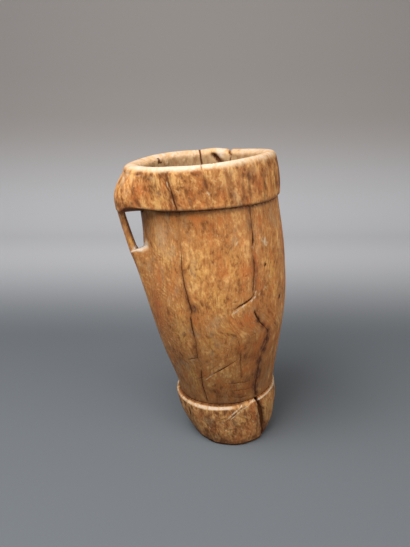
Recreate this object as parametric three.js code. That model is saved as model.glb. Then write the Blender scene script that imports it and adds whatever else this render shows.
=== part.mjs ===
// A carved wooden container: a leaning barrel hollowed out of one log, with a raised rim band,
// a strap handle left standing between that band and a spur on the wall, and a swelling foot.
// Millimetres, +Z up. The origin is the centre of the flat underside, the handle is towards -X,
// and -Y is the front. Angles run anticlockwise from +X, seen from above.

import * as THREE from 'three';
import { mergeVertices } from 'three/addons/utils/BufferGeometryUtils.js';

const { clamp, degToRad, lerp, smoothstep } = THREE.MathUtils;

// Heights, each standing on the one before
const FOOT_HEIGHT = 66.4;
const BODY_HEIGHT = 259;
const BAND_HEIGHT = 51.5;
const BELLY_ABOVE_FOOT = 158.6;

// Radii of the outside
const BASE_RADIUS = 54.3;
const BASE_OVAL = 2.7;
const BASE_EDGE_WEAR = 0.8;
const NECK_RADIUS = 64.4;
const LEDGE_WIDTH = 5.1;
const BELLY_RADIUS = 91.6;
const SHOULDER_DRAW_IN = 4.1;
const BAND_PROUD = 5.5;
const BAND_SHIFT = 3;
const BAND_BULGE = 2.8;
const BAND_BULGE_ANGLE = 350;
const BAND_BULGE_SPREAD = 45;

// The hollow
const WALL_THICKNESS = 15;
const FLOOR_THICKNESS = 48;
const FLOOR_RADIUS = 46;
const FLOOR_DISH = 5;

// The way the log leans to the handle's side, with a slight bend in it
const LEAN = 40;
const SWAY = 2;
const SHOULDER_SET = 2;
const SHOULDER_SET_BELOW_BAND = 40;
const NECK_SET = 2.1;
const NECK_SET_SPREAD = 44;

// The foot's swelling, and the worn ledge on top of it: square to the leaning log, deepest at
// the front and pinched to a line on the right
const SWELL_HEIGHT = 57;
const LEDGE_DROP = 3.6;
const LEDGE_FRONT_DROP = 1.9;
const LEDGE_FRONT_ANGLE = 246;
const LEDGE_PINCH = 2.5;
const LEDGE_PINCH_ANGLE = 330;
const LEDGE_SPREAD = 33;
const NECK_TILT_X = 6.4;
const NECK_TILT_Y = 0.2;

// The lip
const LIP_DRAW_IN = 0.7;
const LIP_WIDTH = 9.8;
const OUTER_BEVEL = 9;
const INNER_BEVEL = 7;
const BAND_EDGE_ROUND = 1.5;

// How the band's lower edge and the worn crest rise and fall around the log
const EDGE_TILT_X = 9.5;
const EDGE_TILT_Y = -2.9;
const EDGE_WAVE_COS = -2.3;
const EDGE_WAVE_SIN = 1.6;
const EDGE_LIFT = 4.8;
const EDGE_LIFT_ANGLE = 213;
const EDGE_LIFT_SPREAD = 15;
const CREST_TILT_X = 6.6;
const CREST_TILT_Y = -3.9;
const CREST_WAVE_COS = 0.6;
const CREST_WAVE_SIN = -1.5;
const CREST_DIP = 3.2;
const CREST_DIP_ANGLE = 165;
const CREST_DIP_SPREAD = 32;

// The strap handle, the lug over it and the spur under it
const HANDLE_ANGLE = 188;
const HANDLE_WIDTH = 25;
const HANDLE_WAIST = 22;
const HANDLE_THICKNESS = 8.8;
const HANDLE_TAPER = 1.4;
const HANDLE_BOW = 1.2;
const GAP_HEIGHT = 55.5;
const GAP_BOTTOM_WIDTH = 7;
const GAP_TOP_WIDTH = 19.2;
const LUG_SPREAD = 38;
const LUG_START = 0.08;
const LUG_FULL = 0.86;
const SEAT_MARGIN = 5;
const SPUR_LENGTH = 130;
const SPUR_FLANK = 25;

// Drying cracks, which follow the grain
const FRONT_CRACK_ANGLE = 248;
const FRONT_CRACK_WIDTH = 1.8;
const FRONT_CRACK_DEPTH = 4;
const SIDE_CRACK_ANGLE = 300;
const SIDE_CRACK_DRIFT = 8;
const SIDE_CRACK_FOOT_DRIFT = 11;
const SIDE_CRACK_WIDTH = 1.6;
const SIDE_CRACK_DEPTH = 2.4;
const FOOT_SPLIT_WIDTH = 4;
const FOOT_SPLIT_DEPTH = 7;
const CRACK_DRIFT_SPREAD = 60;

// The broken place in the back of the lip: a notch, a worn lump beside it and a hollow below
const NOTCH_ANGLE = 66;
const NOTCH_WIDTH = 5;
const NOTCH_DEPTH = 7;
const LUMP_ANGLE = 78;
const LUMP_SPREAD = 9;
const LUMP_RISE = 2;
const HOLLOW_DEPTH = 7;
const HOLLOW_BELOW_CREST = 16;

// Fineness of the surfaces
const COLUMN_COUNT = 64;
const LOWER_WALL_RINGS = 12;
const UPPER_WALL_RINGS = 4;
const CAVITY_RINGS = 8;
const HANDLE_RINGS = 14;
const HANDLE_SIDES = 24;

// Radii that follow the neck's and the belly's
const FOOT_RADIUS = NECK_RADIUS + LEDGE_WIDTH;
const SHOULDER_RADIUS = BELLY_RADIUS - SHOULDER_DRAW_IN;
const CREST_RADIUS = SHOULDER_RADIUS - LIP_DRAW_IN;
const MOUTH_RADIUS = CREST_RADIUS - LIP_WIDTH;

// Levels worked out from the heights
const bandLevel = FOOT_HEIGHT + BODY_HEIGHT;
const lipLevel = bandLevel + BAND_HEIGHT;
const bellyLevel = FOOT_HEIGHT + BELLY_ABOVE_FOOT;
const handleAngle = degToRad(HANDLE_ANGLE);
const shelfLevel = rawEdgeLevel(handleAngle) - GAP_HEIGHT;

// The spur and the lug reach out as far as the gap and the strap's thickness ask
const spurReach = GAP_BOTTOM_WIDTH + HANDLE_THICKNESS + HANDLE_TAPER;
const gapFillet = 0.5 * GAP_BOTTOM_WIDTH;
const handleTopRadius = SHOULDER_RADIUS + GAP_TOP_WIDTH + HANDLE_THICKNESS;
const lugReach = handleTopRadius + BAND_EDGE_ROUND - ringRadius(handleAngle, bandLevel);

// Sideways place of the log's heart at a height
function heartX(z) {
  const t = z / lipLevel;
  const high = (z - (bandLevel - SHOULDER_SET_BELOW_BAND)) / SHOULDER_SET_BELOW_BAND;
  const low = (z - FOOT_HEIGHT) / NECK_SET_SPREAD;
  const set = SHOULDER_SET * Math.exp(-high * high) + NECK_SET * Math.exp(-low * low);
  return -LEAN * t - SWAY * Math.sin(2 * Math.PI * t) + set;
}

// Signed angle from one direction to another, in degrees
function degreesFrom(angle, reference) {
  const turn = THREE.MathUtils.radToDeg(angle) - reference;
  return turn - 360 * Math.round(turn / 360);
}

// A soft swelling that is 1 in one direction and fades to both sides of it
function swelling(angle, centre, spread) {
  const away = degreesFrom(angle, centre) / spread;
  return Math.exp(-away * away);
}

// A tilted and slightly waved level around the log
function wavedLevel(base, angle, tiltX, tiltY, waveCos, waveSin) {
  const tilt = tiltX * Math.cos(angle) + tiltY * Math.sin(angle);
  return base + tilt + waveCos * Math.cos(2 * angle) + waveSin * Math.sin(2 * angle);
}

function rawEdgeLevel(angle) {
  const level = wavedLevel(bandLevel, angle, EDGE_TILT_X, EDGE_TILT_Y, EDGE_WAVE_COS, EDGE_WAVE_SIN);
  return level + EDGE_LIFT * swelling(angle, EDGE_LIFT_ANGLE, EDGE_LIFT_SPREAD);
}

// Lower edge of the rim band, which is level over the handle so that the strap seats on it
function edgeLevel(angle) {
  const seat = THREE.MathUtils.radToDeg((HANDLE_WIDTH / 2 + SEAT_MARGIN) / SHOULDER_RADIUS);
  const away = Math.abs(degreesFrom(angle, HANDLE_ANGLE));
  const mix = smoothstep(away, seat, 1.8 * seat);
  return lerp(rawEdgeLevel(handleAngle), rawEdgeLevel(angle), mix);
}

// Top of the lip, with the worn lump beside the notch at the back, and worn lower by the handle
function crestLevel(angle) {
  const level = wavedLevel(lipLevel, angle, CREST_TILT_X, CREST_TILT_Y, CREST_WAVE_COS, CREST_WAVE_SIN);
  const dip = CREST_DIP * swelling(angle, CREST_DIP_ANGLE, CREST_DIP_SPREAD);
  return level - dip + LUMP_RISE * swelling(angle, LUMP_ANGLE, LUMP_SPREAD);
}

// Plain barrel: neck to belly as a quarter sine, belly to shoulder as a soft fall
function barrelRadius(z) {
  if (z < bellyLevel) {
    const s = clamp((z - FOOT_HEIGHT) / BELLY_ABOVE_FOOT, 0, 1);
    return lerp(NECK_RADIUS, BELLY_RADIUS, Math.sin((Math.PI / 2) * s) ** 1.22);
  }
  const s = clamp((z - bellyLevel) / (bandLevel - bellyLevel), 0, 1);
  return lerp(SHOULDER_RADIUS, BELLY_RADIUS, Math.cos((Math.PI / 2) * s) ** 2);
}

// How far the spur stands out of the wall under the handle
function spurOut(angle, z) {
  const rise = clamp((z - (shelfLevel - SPUR_LENGTH)) / SPUR_LENGTH, 0, 1) ** 3.2;
  const arc = Math.abs(degToRad(degreesFrom(angle, HANDLE_ANGLE))) * BELLY_RADIUS;
  return spurReach * rise * (1 - smoothstep(arc, HANDLE_WIDTH / 2, HANDLE_WIDTH / 2 + SPUR_FLANK));
}

// How far the lug swells out of the rim band over the handle
function lugOut(angle, z) {
  const down = (crestLevel(angle) - z) / (crestLevel(angle) - edgeLevel(angle));
  const full = clamp((down - LUG_START) / (LUG_FULL - LUG_START), 0, 1);
  const rise = Math.sin((Math.PI / 2) * full) ** 1.1;
  const away = Math.abs(degreesFrom(angle, HANDLE_ANGLE));
  const flat = THREE.MathUtils.radToDeg(HANDLE_WIDTH / 2 / BELLY_RADIUS);
  return lugReach * rise * (1 - smoothstep(away, flat, flat + LUG_SPREAD));
}

// Outside of the rim band without the lug: proudest on the handle's side, and bulging between
// its edges on the other side
function ringRadius(angle, z) {
  const down = clamp((crestLevel(angle) - z) / (crestLevel(angle) - edgeLevel(angle)), 0, 1);
  const bulge = Math.max(Math.sin(Math.PI * down), 0) ** 0.7;
  const side = swelling(angle, BAND_BULGE_ANGLE, BAND_BULGE_SPREAD);
  return SHOULDER_RADIUS + BAND_PROUD - BAND_SHIFT * Math.cos(angle) + BAND_BULGE * side * bulge;
}

function bandRadius(angle, z) {
  return ringRadius(angle, z) + lugOut(angle, z);
}

// Level of the neck, where the wall stands on the foot: one tilted plane
function neckLevel(angle, radius) {
  const tilt = NECK_TILT_X * Math.cos(angle) + NECK_TILT_Y * Math.sin(angle);
  return FOOT_HEIGHT + (tilt * radius) / NECK_RADIUS;
}

// Outer edge of the worn ledge on top of the foot
function ledgeLevel(angle) {
  const front = LEDGE_FRONT_DROP * swelling(angle, LEDGE_FRONT_ANGLE, LEDGE_SPREAD);
  const pinch = LEDGE_PINCH * swelling(angle, LEDGE_PINCH_ANGLE, LEDGE_SPREAD);
  return neckLevel(angle, NECK_RADIUS) - (LEDGE_DROP + front - pinch);
}

// Side of the foot: a quarter sine from the base, which is a little deeper than wide, to its widest
function footRadius(angle, z) {
  const base = BASE_RADIUS - BASE_OVAL * Math.cos(2 * angle);
  return lerp(base, FOOT_RADIUS, Math.sin((Math.PI / 2) * clamp(z / SWELL_HEIGHT, 0, 1)));
}

// Inside of the hollow, an even wall inwards of the barrel
function hollowRadius(z) {
  return barrelRadius(z) - WALL_THICKNESS;
}

// Where the crack on the side runs at a height: straight in the body, then bending with the
// grain towards the foot. Returned as degrees away from its upper course
function sideCrackDrift(z) {
  const bodyBend = 1 - smoothstep(z, bellyLevel - 65, bellyLevel - 20);
  const footBend = 1 - smoothstep(z, 0, FOOT_HEIGHT);
  return SIDE_CRACK_DRIFT * bodyBend + SIDE_CRACK_FOOT_DRIFT * footBend;
}

// 0 in the foot and 1 in the wall above it
function aboveFoot(z) {
  return smoothstep(z, FOOT_HEIGHT - 8, FOOT_HEIGHT + 16);
}

// Each crack: its direction, and its width and depth at a height
const cracks = {
  front: {
    angle: FRONT_CRACK_ANGLE,
    width: () => FRONT_CRACK_WIDTH,
    depth: (z) => {
      const body = Math.exp(-(((z - (bellyLevel - 20)) / 50) ** 2));
      const band = smoothstep(z, bandLevel - 5, bandLevel + 5);
      const end = smoothstep(z, FOOT_HEIGHT, FOOT_HEIGHT + 50);
      return FRONT_CRACK_DEPTH * Math.max(body, 0.8 * band, 0.25) * end;
    },
  },
  side: {
    angle: SIDE_CRACK_ANGLE,
    width: (z) => lerp(FOOT_SPLIT_WIDTH, SIDE_CRACK_WIDTH, aboveFoot(z)),
    depth: (z) => lerp(FOOT_SPLIT_DEPTH, SIDE_CRACK_DEPTH, aboveFoot(z)),
  },
  notch: {
    angle: NOTCH_ANGLE,
    width: () => NOTCH_WIDTH,
    depth: (z) => NOTCH_DEPTH * smoothstep(z, lipLevel - 2 * INNER_BEVEL, lipLevel - INNER_BEVEL / 2),
  },
};

// Directions of the columns of points: evenly spaced from the handle, closer at the broken lip,
// and three at each crack, for its two edges and its bottom
function makeColumns() {
  const step = 360 / COLUMN_COUNT;
  const clear = 0.6 * step;
  const columns = [];
  const nearCrack = (angle, crack) => Math.abs(degreesFrom(degToRad(angle), crack.angle)) < clear;
  const addPlain = (angle) => {
    if (!Object.values(cracks).some((crack) => nearCrack(angle, crack))) {
      columns.push({ angle: THREE.MathUtils.euclideanModulo(angle, 360), side: 0, crack: null });
    }
  };
  for (let k = 0; k < COLUMN_COUNT; k += 1) {
    const angle = HANDLE_ANGLE + k * step;
    addPlain(angle);
    if (Math.abs(degreesFrom(degToRad(angle + step / 2), LUMP_ANGLE)) < 2 * LUMP_SPREAD) {
      addPlain(angle + step / 2);
    }
  }
  for (const crack of Object.values(cracks)) {
    for (const side of [-1, 0, 1]) {
      columns.push({ angle: crack.angle, side, crack });
    }
  }
  return columns.sort((a, b) => a.angle - b.angle || a.side - b.side);
}

const columns = makeColumns();

// Direction of a column at a height, turned aside where the side crack bends
function columnAngle(column, z, radius) {
  const away = Math.abs(degreesFrom(degToRad(column.angle), SIDE_CRACK_ANGLE));
  const near = 1 - smoothstep(away, 0, CRACK_DRIFT_SPREAD);
  const width = column.crack ? column.crack.width(z) : 0;
  return degToRad(column.angle + near * sideCrackDrift(z)) + (column.side * width) / 2 / radius;
}

// A ring of points round the log. Its profile gives radius and height in a direction; a skin
// that the cracks cut says which way it faces: 0 outwards, 90 up, 180 inwards
function ring(nominalLevel, nominalRadius, profile, facing = null) {
  return columns.map((column) => {
    const angle = columnAngle(column, nominalLevel, nominalRadius);
    let [radius, z] = profile(angle);
    if (facing !== null && column.crack && column.side === 0) {
      const depth = column.crack.depth(nominalLevel);
      radius -= depth * Math.cos(degToRad(facing));
      z -= depth * Math.sin(degToRad(facing));
    }
    return new THREE.Vector3(heartX(z) + radius * Math.cos(angle), radius * Math.sin(angle), z);
  });
}

// Adds the two triangles of each square between two rings, split along the shorter diagonal, so
// that two pieces that share both rings share their facets too
function addStrip(points, lower, upper) {
  const count = lower.length;
  for (let i = 0; i < count; i += 1) {
    const next = (i + 1) % count;
    const [a, b, c, d] = [lower[i], lower[next], upper[next], upper[i]];
    if (a.distanceToSquared(c) < b.distanceToSquared(d)) {
      points.push(a, b, c, a, c, d);
    } else {
      points.push(a, b, d, b, c, d);
    }
  }
}

// Adds a flat fan that closes a ring, facing along the ring's own turn
function addCap(points, edge, centre) {
  edge.forEach((point, i) => points.push(centre, point, edge[(i + 1) % edge.length]));
}

// A closed mesh from a list of triangle corners, without the triangles that have no area
function meshFrom(points, name, color, roughness) {
  const loose = new THREE.BufferGeometry().setFromPoints(points);
  const merged = mergeVertices(loose, 1e-4);
  const corners = merged.index.array;
  const kept = [];
  for (let i = 0; i < corners.length; i += 3) {
    const [a, b, c] = [corners[i], corners[i + 1], corners[i + 2]];
    if (a !== b && b !== c && c !== a) {
      kept.push(a, b, c);
    }
  }
  merged.setIndex(kept);
  merged.computeVertexNormals();
  const mesh = new THREE.Mesh(merged, new THREE.MeshStandardMaterial({ color, roughness, metalness: 0 }));
  mesh.name = name;
  return mesh;
}

// A body that goes round the log: rings up the outside and back down the inside
function roundBody(rings, name, color, roughness) {
  const points = [];
  rings.forEach((lower, k) => addStrip(points, lower, rings[(k + 1) % rings.length]));
  return meshFrom(points, name, color, roughness);
}

// Rings that two neighbours share where they meet
function wallTopOuter() {
  return ring(bandLevel, SHOULDER_RADIUS, (angle) => [SHOULDER_RADIUS, edgeLevel(angle)], 0);
}

function wallTopInner() {
  return ring(bandLevel, SHOULDER_RADIUS, (angle) => [SHOULDER_RADIUS - WALL_THICKNESS, edgeLevel(angle)]);
}

function neckOuter() {
  return ring(FOOT_HEIGHT, NECK_RADIUS, (angle) => [NECK_RADIUS, neckLevel(angle, NECK_RADIUS)], 0);
}

function neckInner() {
  const radius = NECK_RADIUS - WALL_THICKNESS;
  return ring(FOOT_HEIGHT, NECK_RADIUS, (angle) => [radius, neckLevel(angle, radius)]);
}

function floorEdge(z) {
  return ring(z, FLOOR_RADIUS, () => [FLOOR_RADIUS, z]);
}

// Hollow barrel between the foot and the rim band, with the spur that carries the handle
function makeWall() {
  const rings = [neckInner(), neckOuter()];
  for (let k = 1; k < LOWER_WALL_RINGS; k += 1) {
    const share = k / LOWER_WALL_RINGS;
    const middle = lerp(FOOT_HEIGHT, shelfLevel, share);
    const outside = (angle) => {
      const z = lerp(neckLevel(angle, NECK_RADIUS), shelfLevel, share);
      return [barrelRadius(z) + spurOut(angle, z), z];
    };
    rings.push(ring(middle, barrelRadius(middle), outside, 0));
  }
  const shelf = barrelRadius(shelfLevel);
  rings.push(ring(shelfLevel, shelf, (angle) => [shelf + spurOut(angle, shelfLevel), shelfLevel], 0));
  const fillet = (angle) => Math.min(gapFillet, spurOut(angle, shelfLevel));
  rings.push(ring(shelfLevel, shelf, (angle) => [shelf + fillet(angle), shelfLevel], 0));
  const gapFloor = shelfLevel + gapFillet;
  const wallOut = (angle) => barrelRadius(gapFloor) + 0.15 * fillet(angle);
  rings.push(ring(gapFloor, shelf, (angle) => [wallOut(angle), gapFloor], 0));
  for (let k = 1; k < UPPER_WALL_RINGS; k += 1) {
    const share = k / UPPER_WALL_RINGS;
    const middle = lerp(gapFloor, bandLevel, share);
    const level = (angle) => lerp(gapFloor, edgeLevel(angle), share);
    rings.push(ring(middle, shelf, (angle) => [barrelRadius(level(angle)), level(angle)], 0));
  }
  rings.push(wallTopOuter(), wallTopInner());
  for (let k = CAVITY_RINGS - 1; k > 0; k -= 1) {
    const share = k / CAVITY_RINGS;
    const level = (angle) => lerp(neckLevel(angle, NECK_RADIUS - WALL_THICKNESS), edgeLevel(angle), share);
    const middle = lerp(FOOT_HEIGHT, bandLevel, share);
    rings.push(ring(middle, barrelRadius(middle), (angle) => [hollowRadius(level(angle)), level(angle)]));
  }
  return roundBody(rings, 'vessel_wall', 0xa76e3e, 0.62);
}

// Raised band round the mouth, with its worn lip and the lug that the handle hangs from
function makeRim() {
  const rings = [wallTopInner(), wallTopOuter()];
  const outside = (angle, z) => bandRadius(angle, z);
  const underside = (angle) => [outside(angle, edgeLevel(angle)) - BAND_EDGE_ROUND, edgeLevel(angle)];
  rings.push(ring(bandLevel, SHOULDER_RADIUS, underside, 0));
  for (const share of [0, 0.2, 0.4, 0.6, 0.8, 1]) {
    const level = (angle) => {
      const bottom = edgeLevel(angle) + 1.5 * BAND_EDGE_ROUND;
      return lerp(bottom, crestLevel(angle) - OUTER_BEVEL, share);
    };
    const middle = lerp(bandLevel, lipLevel - OUTER_BEVEL, share);
    rings.push(ring(middle, SHOULDER_RADIUS, (angle) => [outside(angle, level(angle)), level(angle)], 0));
  }
  for (const turn of [30, 60, 90]) {
    const bevel = (angle) => {
      const shoulder = outside(angle, crestLevel(angle) - OUTER_BEVEL);
      const radius = lerp(CREST_RADIUS, shoulder, Math.cos(degToRad(turn)));
      return [radius, crestLevel(angle) - OUTER_BEVEL * (1 - Math.sin(degToRad(turn)))];
    };
    rings.push(ring(lipLevel, CREST_RADIUS, bevel, turn));
  }
  for (const turn of [60, 30, 0]) {
    const bevel = (angle) => {
      const radius = lerp(CREST_RADIUS, MOUTH_RADIUS, Math.cos(degToRad(turn)));
      return [radius, crestLevel(angle) - INNER_BEVEL * (1 - Math.sin(degToRad(turn)))];
    };
    rings.push(ring(lipLevel, MOUTH_RADIUS, bevel, turn > 0 ? 180 - turn : null));
  }
  for (const share of [0.25, 0.5, 0.75]) {
    const inside = (angle) => {
      const z = lerp(crestLevel(angle) - INNER_BEVEL, edgeLevel(angle), share);
      const across = degreesFrom(angle, LUMP_ANGLE) / LUMP_SPREAD;
      const down = (crestLevel(angle) - HOLLOW_BELOW_CREST - z) / (0.6 * HOLLOW_BELOW_CREST);
      const hollow = HOLLOW_DEPTH * Math.exp(-across * across - down * down);
      return [lerp(MOUTH_RADIUS, SHOULDER_RADIUS - WALL_THICKNESS, share) + hollow, z];
    };
    rings.push(ring(lerp(lipLevel, bandLevel, share), MOUTH_RADIUS, inside));
  }
  return roundBody(rings, 'rim_band', 0xb57a4a, 0.58);
}

// Swelling band at the bottom, with its worn ledge and the deep split in its right side
function makeFoot() {
  const rings = [floorEdge(0)];
  rings.push(ring(0, FOOT_RADIUS, (angle) => [footRadius(angle, 0) - BASE_EDGE_WEAR, 0], 0));
  for (const share of [0.05, 0.2, 0.4, 0.6, 0.8, 1]) {
    const middle = share * (FOOT_HEIGHT - LEDGE_DROP);
    const side = (angle) => [footRadius(angle, share * ledgeLevel(angle)), share * ledgeLevel(angle)];
    rings.push(ring(middle, FOOT_RADIUS, side, 0));
  }
  rings.push(neckOuter(), neckInner());
  const bowl = (FOOT_HEIGHT + FLOOR_THICKNESS) / 2;
  const bowlRadius = lerp(FLOOR_RADIUS, NECK_RADIUS - WALL_THICKNESS, 0.75);
  rings.push(ring(bowl, FLOOR_RADIUS, () => [bowlRadius, bowl]));
  rings.push(floorEdge(FLOOR_THICKNESS));
  return roundBody(rings, 'foot_band', 0x84603f, 0.75);
}

// Thick floor of the hollow, level underneath and slightly dished on top
function makeFloor() {
  const points = [];
  const rings = [floorEdge(0), floorEdge(FLOOR_THICKNESS)];
  for (const share of [0.8, 0.55, 0.3]) {
    const z = FLOOR_THICKNESS - FLOOR_DISH * (1 - share * share);
    rings.push(ring(FLOOR_THICKNESS, FLOOR_RADIUS, () => [share * FLOOR_RADIUS, z]));
  }
  for (let k = 1; k < rings.length; k += 1) {
    addStrip(points, rings[k - 1], rings[k]);
  }
  addCap(points, [...rings[0]].reverse(), new THREE.Vector3(heartX(0), 0, 0));
  const dish = FLOOR_THICKNESS - FLOOR_DISH;
  addCap(points, rings[rings.length - 1], new THREE.Vector3(heartX(dish), 0, dish));
  return meshFrom(points, 'floor', 0x7a5636, 0.8);
}

// Section of the strap at a share of its height: a rounded rectangle, bowed like the wall
function handleSection(share) {
  const top = edgeLevel(handleAngle);
  const z = lerp(shelfLevel, top, share);
  const lowest = barrelRadius(shelfLevel) + spurReach;
  const bowed = HANDLE_BOW * Math.sin(Math.PI * share);
  const outer = lerp(lowest, handleTopRadius, Math.sin((Math.PI / 2) * share)) + bowed;
  const toEnd = Math.min(share, 1 - share) * GAP_HEIGHT;
  const flare = gapFillet * Math.exp(-((toEnd / gapFillet) ** 1.5));
  const thickness = HANDLE_THICKNESS + HANDLE_TAPER * (1 - share) + flare;
  const width = lerp(HANDLE_WIDTH, HANDLE_WAIST, Math.sin(Math.PI * share));
  const radial = new THREE.Vector3(Math.cos(handleAngle), Math.sin(handleAngle), 0);
  const across = new THREE.Vector3(-Math.sin(handleAngle), Math.cos(handleAngle), 0);
  const section = [];
  for (let i = 0; i < HANDLE_SIDES; i += 1) {
    const turn = (2 * Math.PI * i) / HANDLE_SIDES;
    const square = (value) => Math.sign(value) * Math.abs(value) ** (2 / 3);
    const side = (square(Math.sin(turn)) * width) / 2;
    const curve = (side * side) / (2 * outer);
    const out = outer - thickness / 2 + (square(Math.cos(turn)) * thickness) / 2 - curve;
    const heart = new THREE.Vector3(heartX(z), 0, z);
    section.push(heart.addScaledVector(radial, out).addScaledVector(across, side));
  }
  return section;
}

// Free strap that stands on the spur and runs up under the lug, flush with both outside
function makeHandle() {
  const points = [];
  const sections = [];
  for (let k = 0; k <= HANDLE_RINGS; k += 1) {
    const even = k / HANDLE_RINGS;
    sections.push(handleSection(lerp(even, smoothstep(even, 0, 1), 0.6)));
  }
  for (let k = 1; k < sections.length; k += 1) {
    addStrip(points, sections[k - 1], sections[k]);
  }
  const centreOf = (section) => {
    const sum = section.reduce((total, point) => total.add(point), new THREE.Vector3());
    return sum.divideScalar(section.length);
  };
  const last = sections[sections.length - 1];
  addCap(points, [...sections[0]].reverse(), centreOf(sections[0]));
  addCap(points, last, centreOf(last));
  return meshFrom(points, 'handle', 0xa8693a, 0.6);
}

const container = new THREE.Group();
container.add(makeFoot(), makeFloor(), makeWall(), makeHandle(), makeRim());

export default container;
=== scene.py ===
import math

import bpy
import numpy as np
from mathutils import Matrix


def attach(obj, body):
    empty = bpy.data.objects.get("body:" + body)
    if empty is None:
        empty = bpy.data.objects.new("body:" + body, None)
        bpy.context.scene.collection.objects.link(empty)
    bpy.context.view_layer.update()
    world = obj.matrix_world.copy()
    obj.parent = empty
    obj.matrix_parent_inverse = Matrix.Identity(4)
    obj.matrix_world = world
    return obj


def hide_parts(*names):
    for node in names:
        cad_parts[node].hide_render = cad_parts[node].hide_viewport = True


bl_info = {
    "name": "Carved wooden container",
    "version": (1, 0, 0),
    "blender": (4, 5, 0),
    "location": "3D View > Sidebar > Container",
    "description": "Carves a leaning wooden vessel with a rim band, a handle and a foot",
    "category": "Object",
}

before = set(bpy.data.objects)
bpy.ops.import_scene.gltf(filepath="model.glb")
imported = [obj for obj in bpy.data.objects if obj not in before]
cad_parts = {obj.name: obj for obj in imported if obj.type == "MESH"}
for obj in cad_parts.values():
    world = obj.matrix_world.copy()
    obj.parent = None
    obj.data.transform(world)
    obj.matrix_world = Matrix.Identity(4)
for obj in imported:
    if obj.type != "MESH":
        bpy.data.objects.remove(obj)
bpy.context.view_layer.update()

# Shapes are worked out in millimetres, with directions in degrees anticlockwise from +X, seen
# from above. The panel and the meshes use metres.
MM = 0.001

# Marks that a skin bears, from 0 to 1 at each point, which the wood reads. The stain and crack
# marks also carry painted shade, and the worn mark painted highlights
MARKS = ("crack", "worn", "stain_and_shade", "red", "gold", "tooled", "inside")

# Directions of the handle and of the columns that the two cracks keep to, and the radius of the
# cylinder on which the grain is unrolled
HANDLE_SIDE = 188
FRONT_COLUMN = 248
SIDE_COLUMN = 300
GRAIN_RADIUS = 85

# Rim band: tilts and waves of its lower edge and of its lip, how far it stands out from the wall,
# leans out at the handle and bulges on the other side, how the lip is rounded, how far the lug
# passes the strap and fades, and how far the level seat over the strap passes it
EDGE_WAVES = (9.5, -2.9, -2.3, 1.6)
LIP_WAVES = (6.6, -3.9, 0.6, -1.5)
BAND_STAND = 5.5
BAND_LEAN = 3
BAND_BULGE = 2.8
EDGE_ROUND = 2.2
CREST_INSET = 0.7
LIP_OUTSIDE = 9
LIP_INSIDE = 7
LUG_MARGIN = 1.5
LUG_FADE = 38
SEAT_MARGIN = 5

# Wall: the widest place's height over the neck, the spur's height and how far it fades to the
# sides, and the worn shelf's step, rise and fall, and its rounding
BELLY_RISE = 158.6
SPUR_HEIGHT = 130
SPUR_FADE = 25
SHELF_STEP = 4.8
SHELF_RISE = 5.4
SHELF_FALL = 3
SHELF_ROUND = 3

# Strap: how far its ends run into the spur and into the lug
STRAP_SUNK = 11
STRAP_RAISED = 3

# Foot: tilt of the neck's plane, the ledge's drop outwards, the height over which the side swells,
# how oval the base is, and the hollow under its worn lower edge
NECK_TILT = (6.4, 0.2)
LEDGE_DROP = 3.6
FOOT_SWELL_HEIGHT = 57
BASE_OVAL = 2.7
UNDERCUT_HEIGHT = 3.8
UNDERCUT_INSET = 5.4
UNDERCUT_WIDTH = 7.2

# Floor of the hollow: its radius, its height, and how deep its top is dished
FLOOR_RADIUS = 46
FLOOR_HEIGHT = 48
FLOOR_DISH = 5

# A ring so close to a corner inside the hollow keeps the shading from running round it
SUPPORT = 0.3

# Colours laid over the wood in the grain, the specks and the blade's ripples
GRAIN_SHADE = (0.3, 0.19, 0.12)
SPECK_SHADE = (0.32, 0.2, 0.13)
RIPPLE_COLOUR = (0.26, 0.1, 0.035)

# Camera: its place and the lamps' target in metres, how far it looks down in degrees, and its
# lens on a sensor of 36 mm, at 600 for a picture 547 high
CAMERA_PLACE = (-0.036, -0.743, 0.4866)
LAMP_TARGET = (-0.02, 0.0, 0.2)
CAMERA_DOWN = 19.5
SENSOR = 36
LENS = SENSOR * 600 / 547

# Drying cracks as (height, direction), from the foot up
FRONT_CRACK = [
    (60, 246.4), (71, 246.1), (83, 245.7), (95, 245.8), (119, 249.5), (140, 248.9), (163, 250.2),
    (169, 249.6), (176, 249.3), (188, 248.8), (196, 248.8), (206, 250.2), (214, 249.2),
    (222, 248.2), (237, 246.4), (257, 244.6), (275, 245), (295, 244.7), (309, 245.3), (323, 247.4),
    (331, 248.2), (337, 247.4), (347, 246.9), (357, 245.9), (371, 245.2),
]
SIDE_CRACK = [
    (0, 318), (17, 316.4), (31, 314), (46, 311), (57, 308), (66, 305.8), (72, 306.2),
    (87, 304.6), (106, 306.8), (126, 307.4), (143, 311.4), (153, 314.4), (170, 314.6), (178, 310),
    (186, 304.9), (195, 301.5), (202, 299.5), (215, 298.6), (231, 298.8), (250, 300.2),
    (264, 301.2), (279, 300.8), (290, 302), (309, 302.6), (325, 303), (380, 303.4),
]

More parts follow.
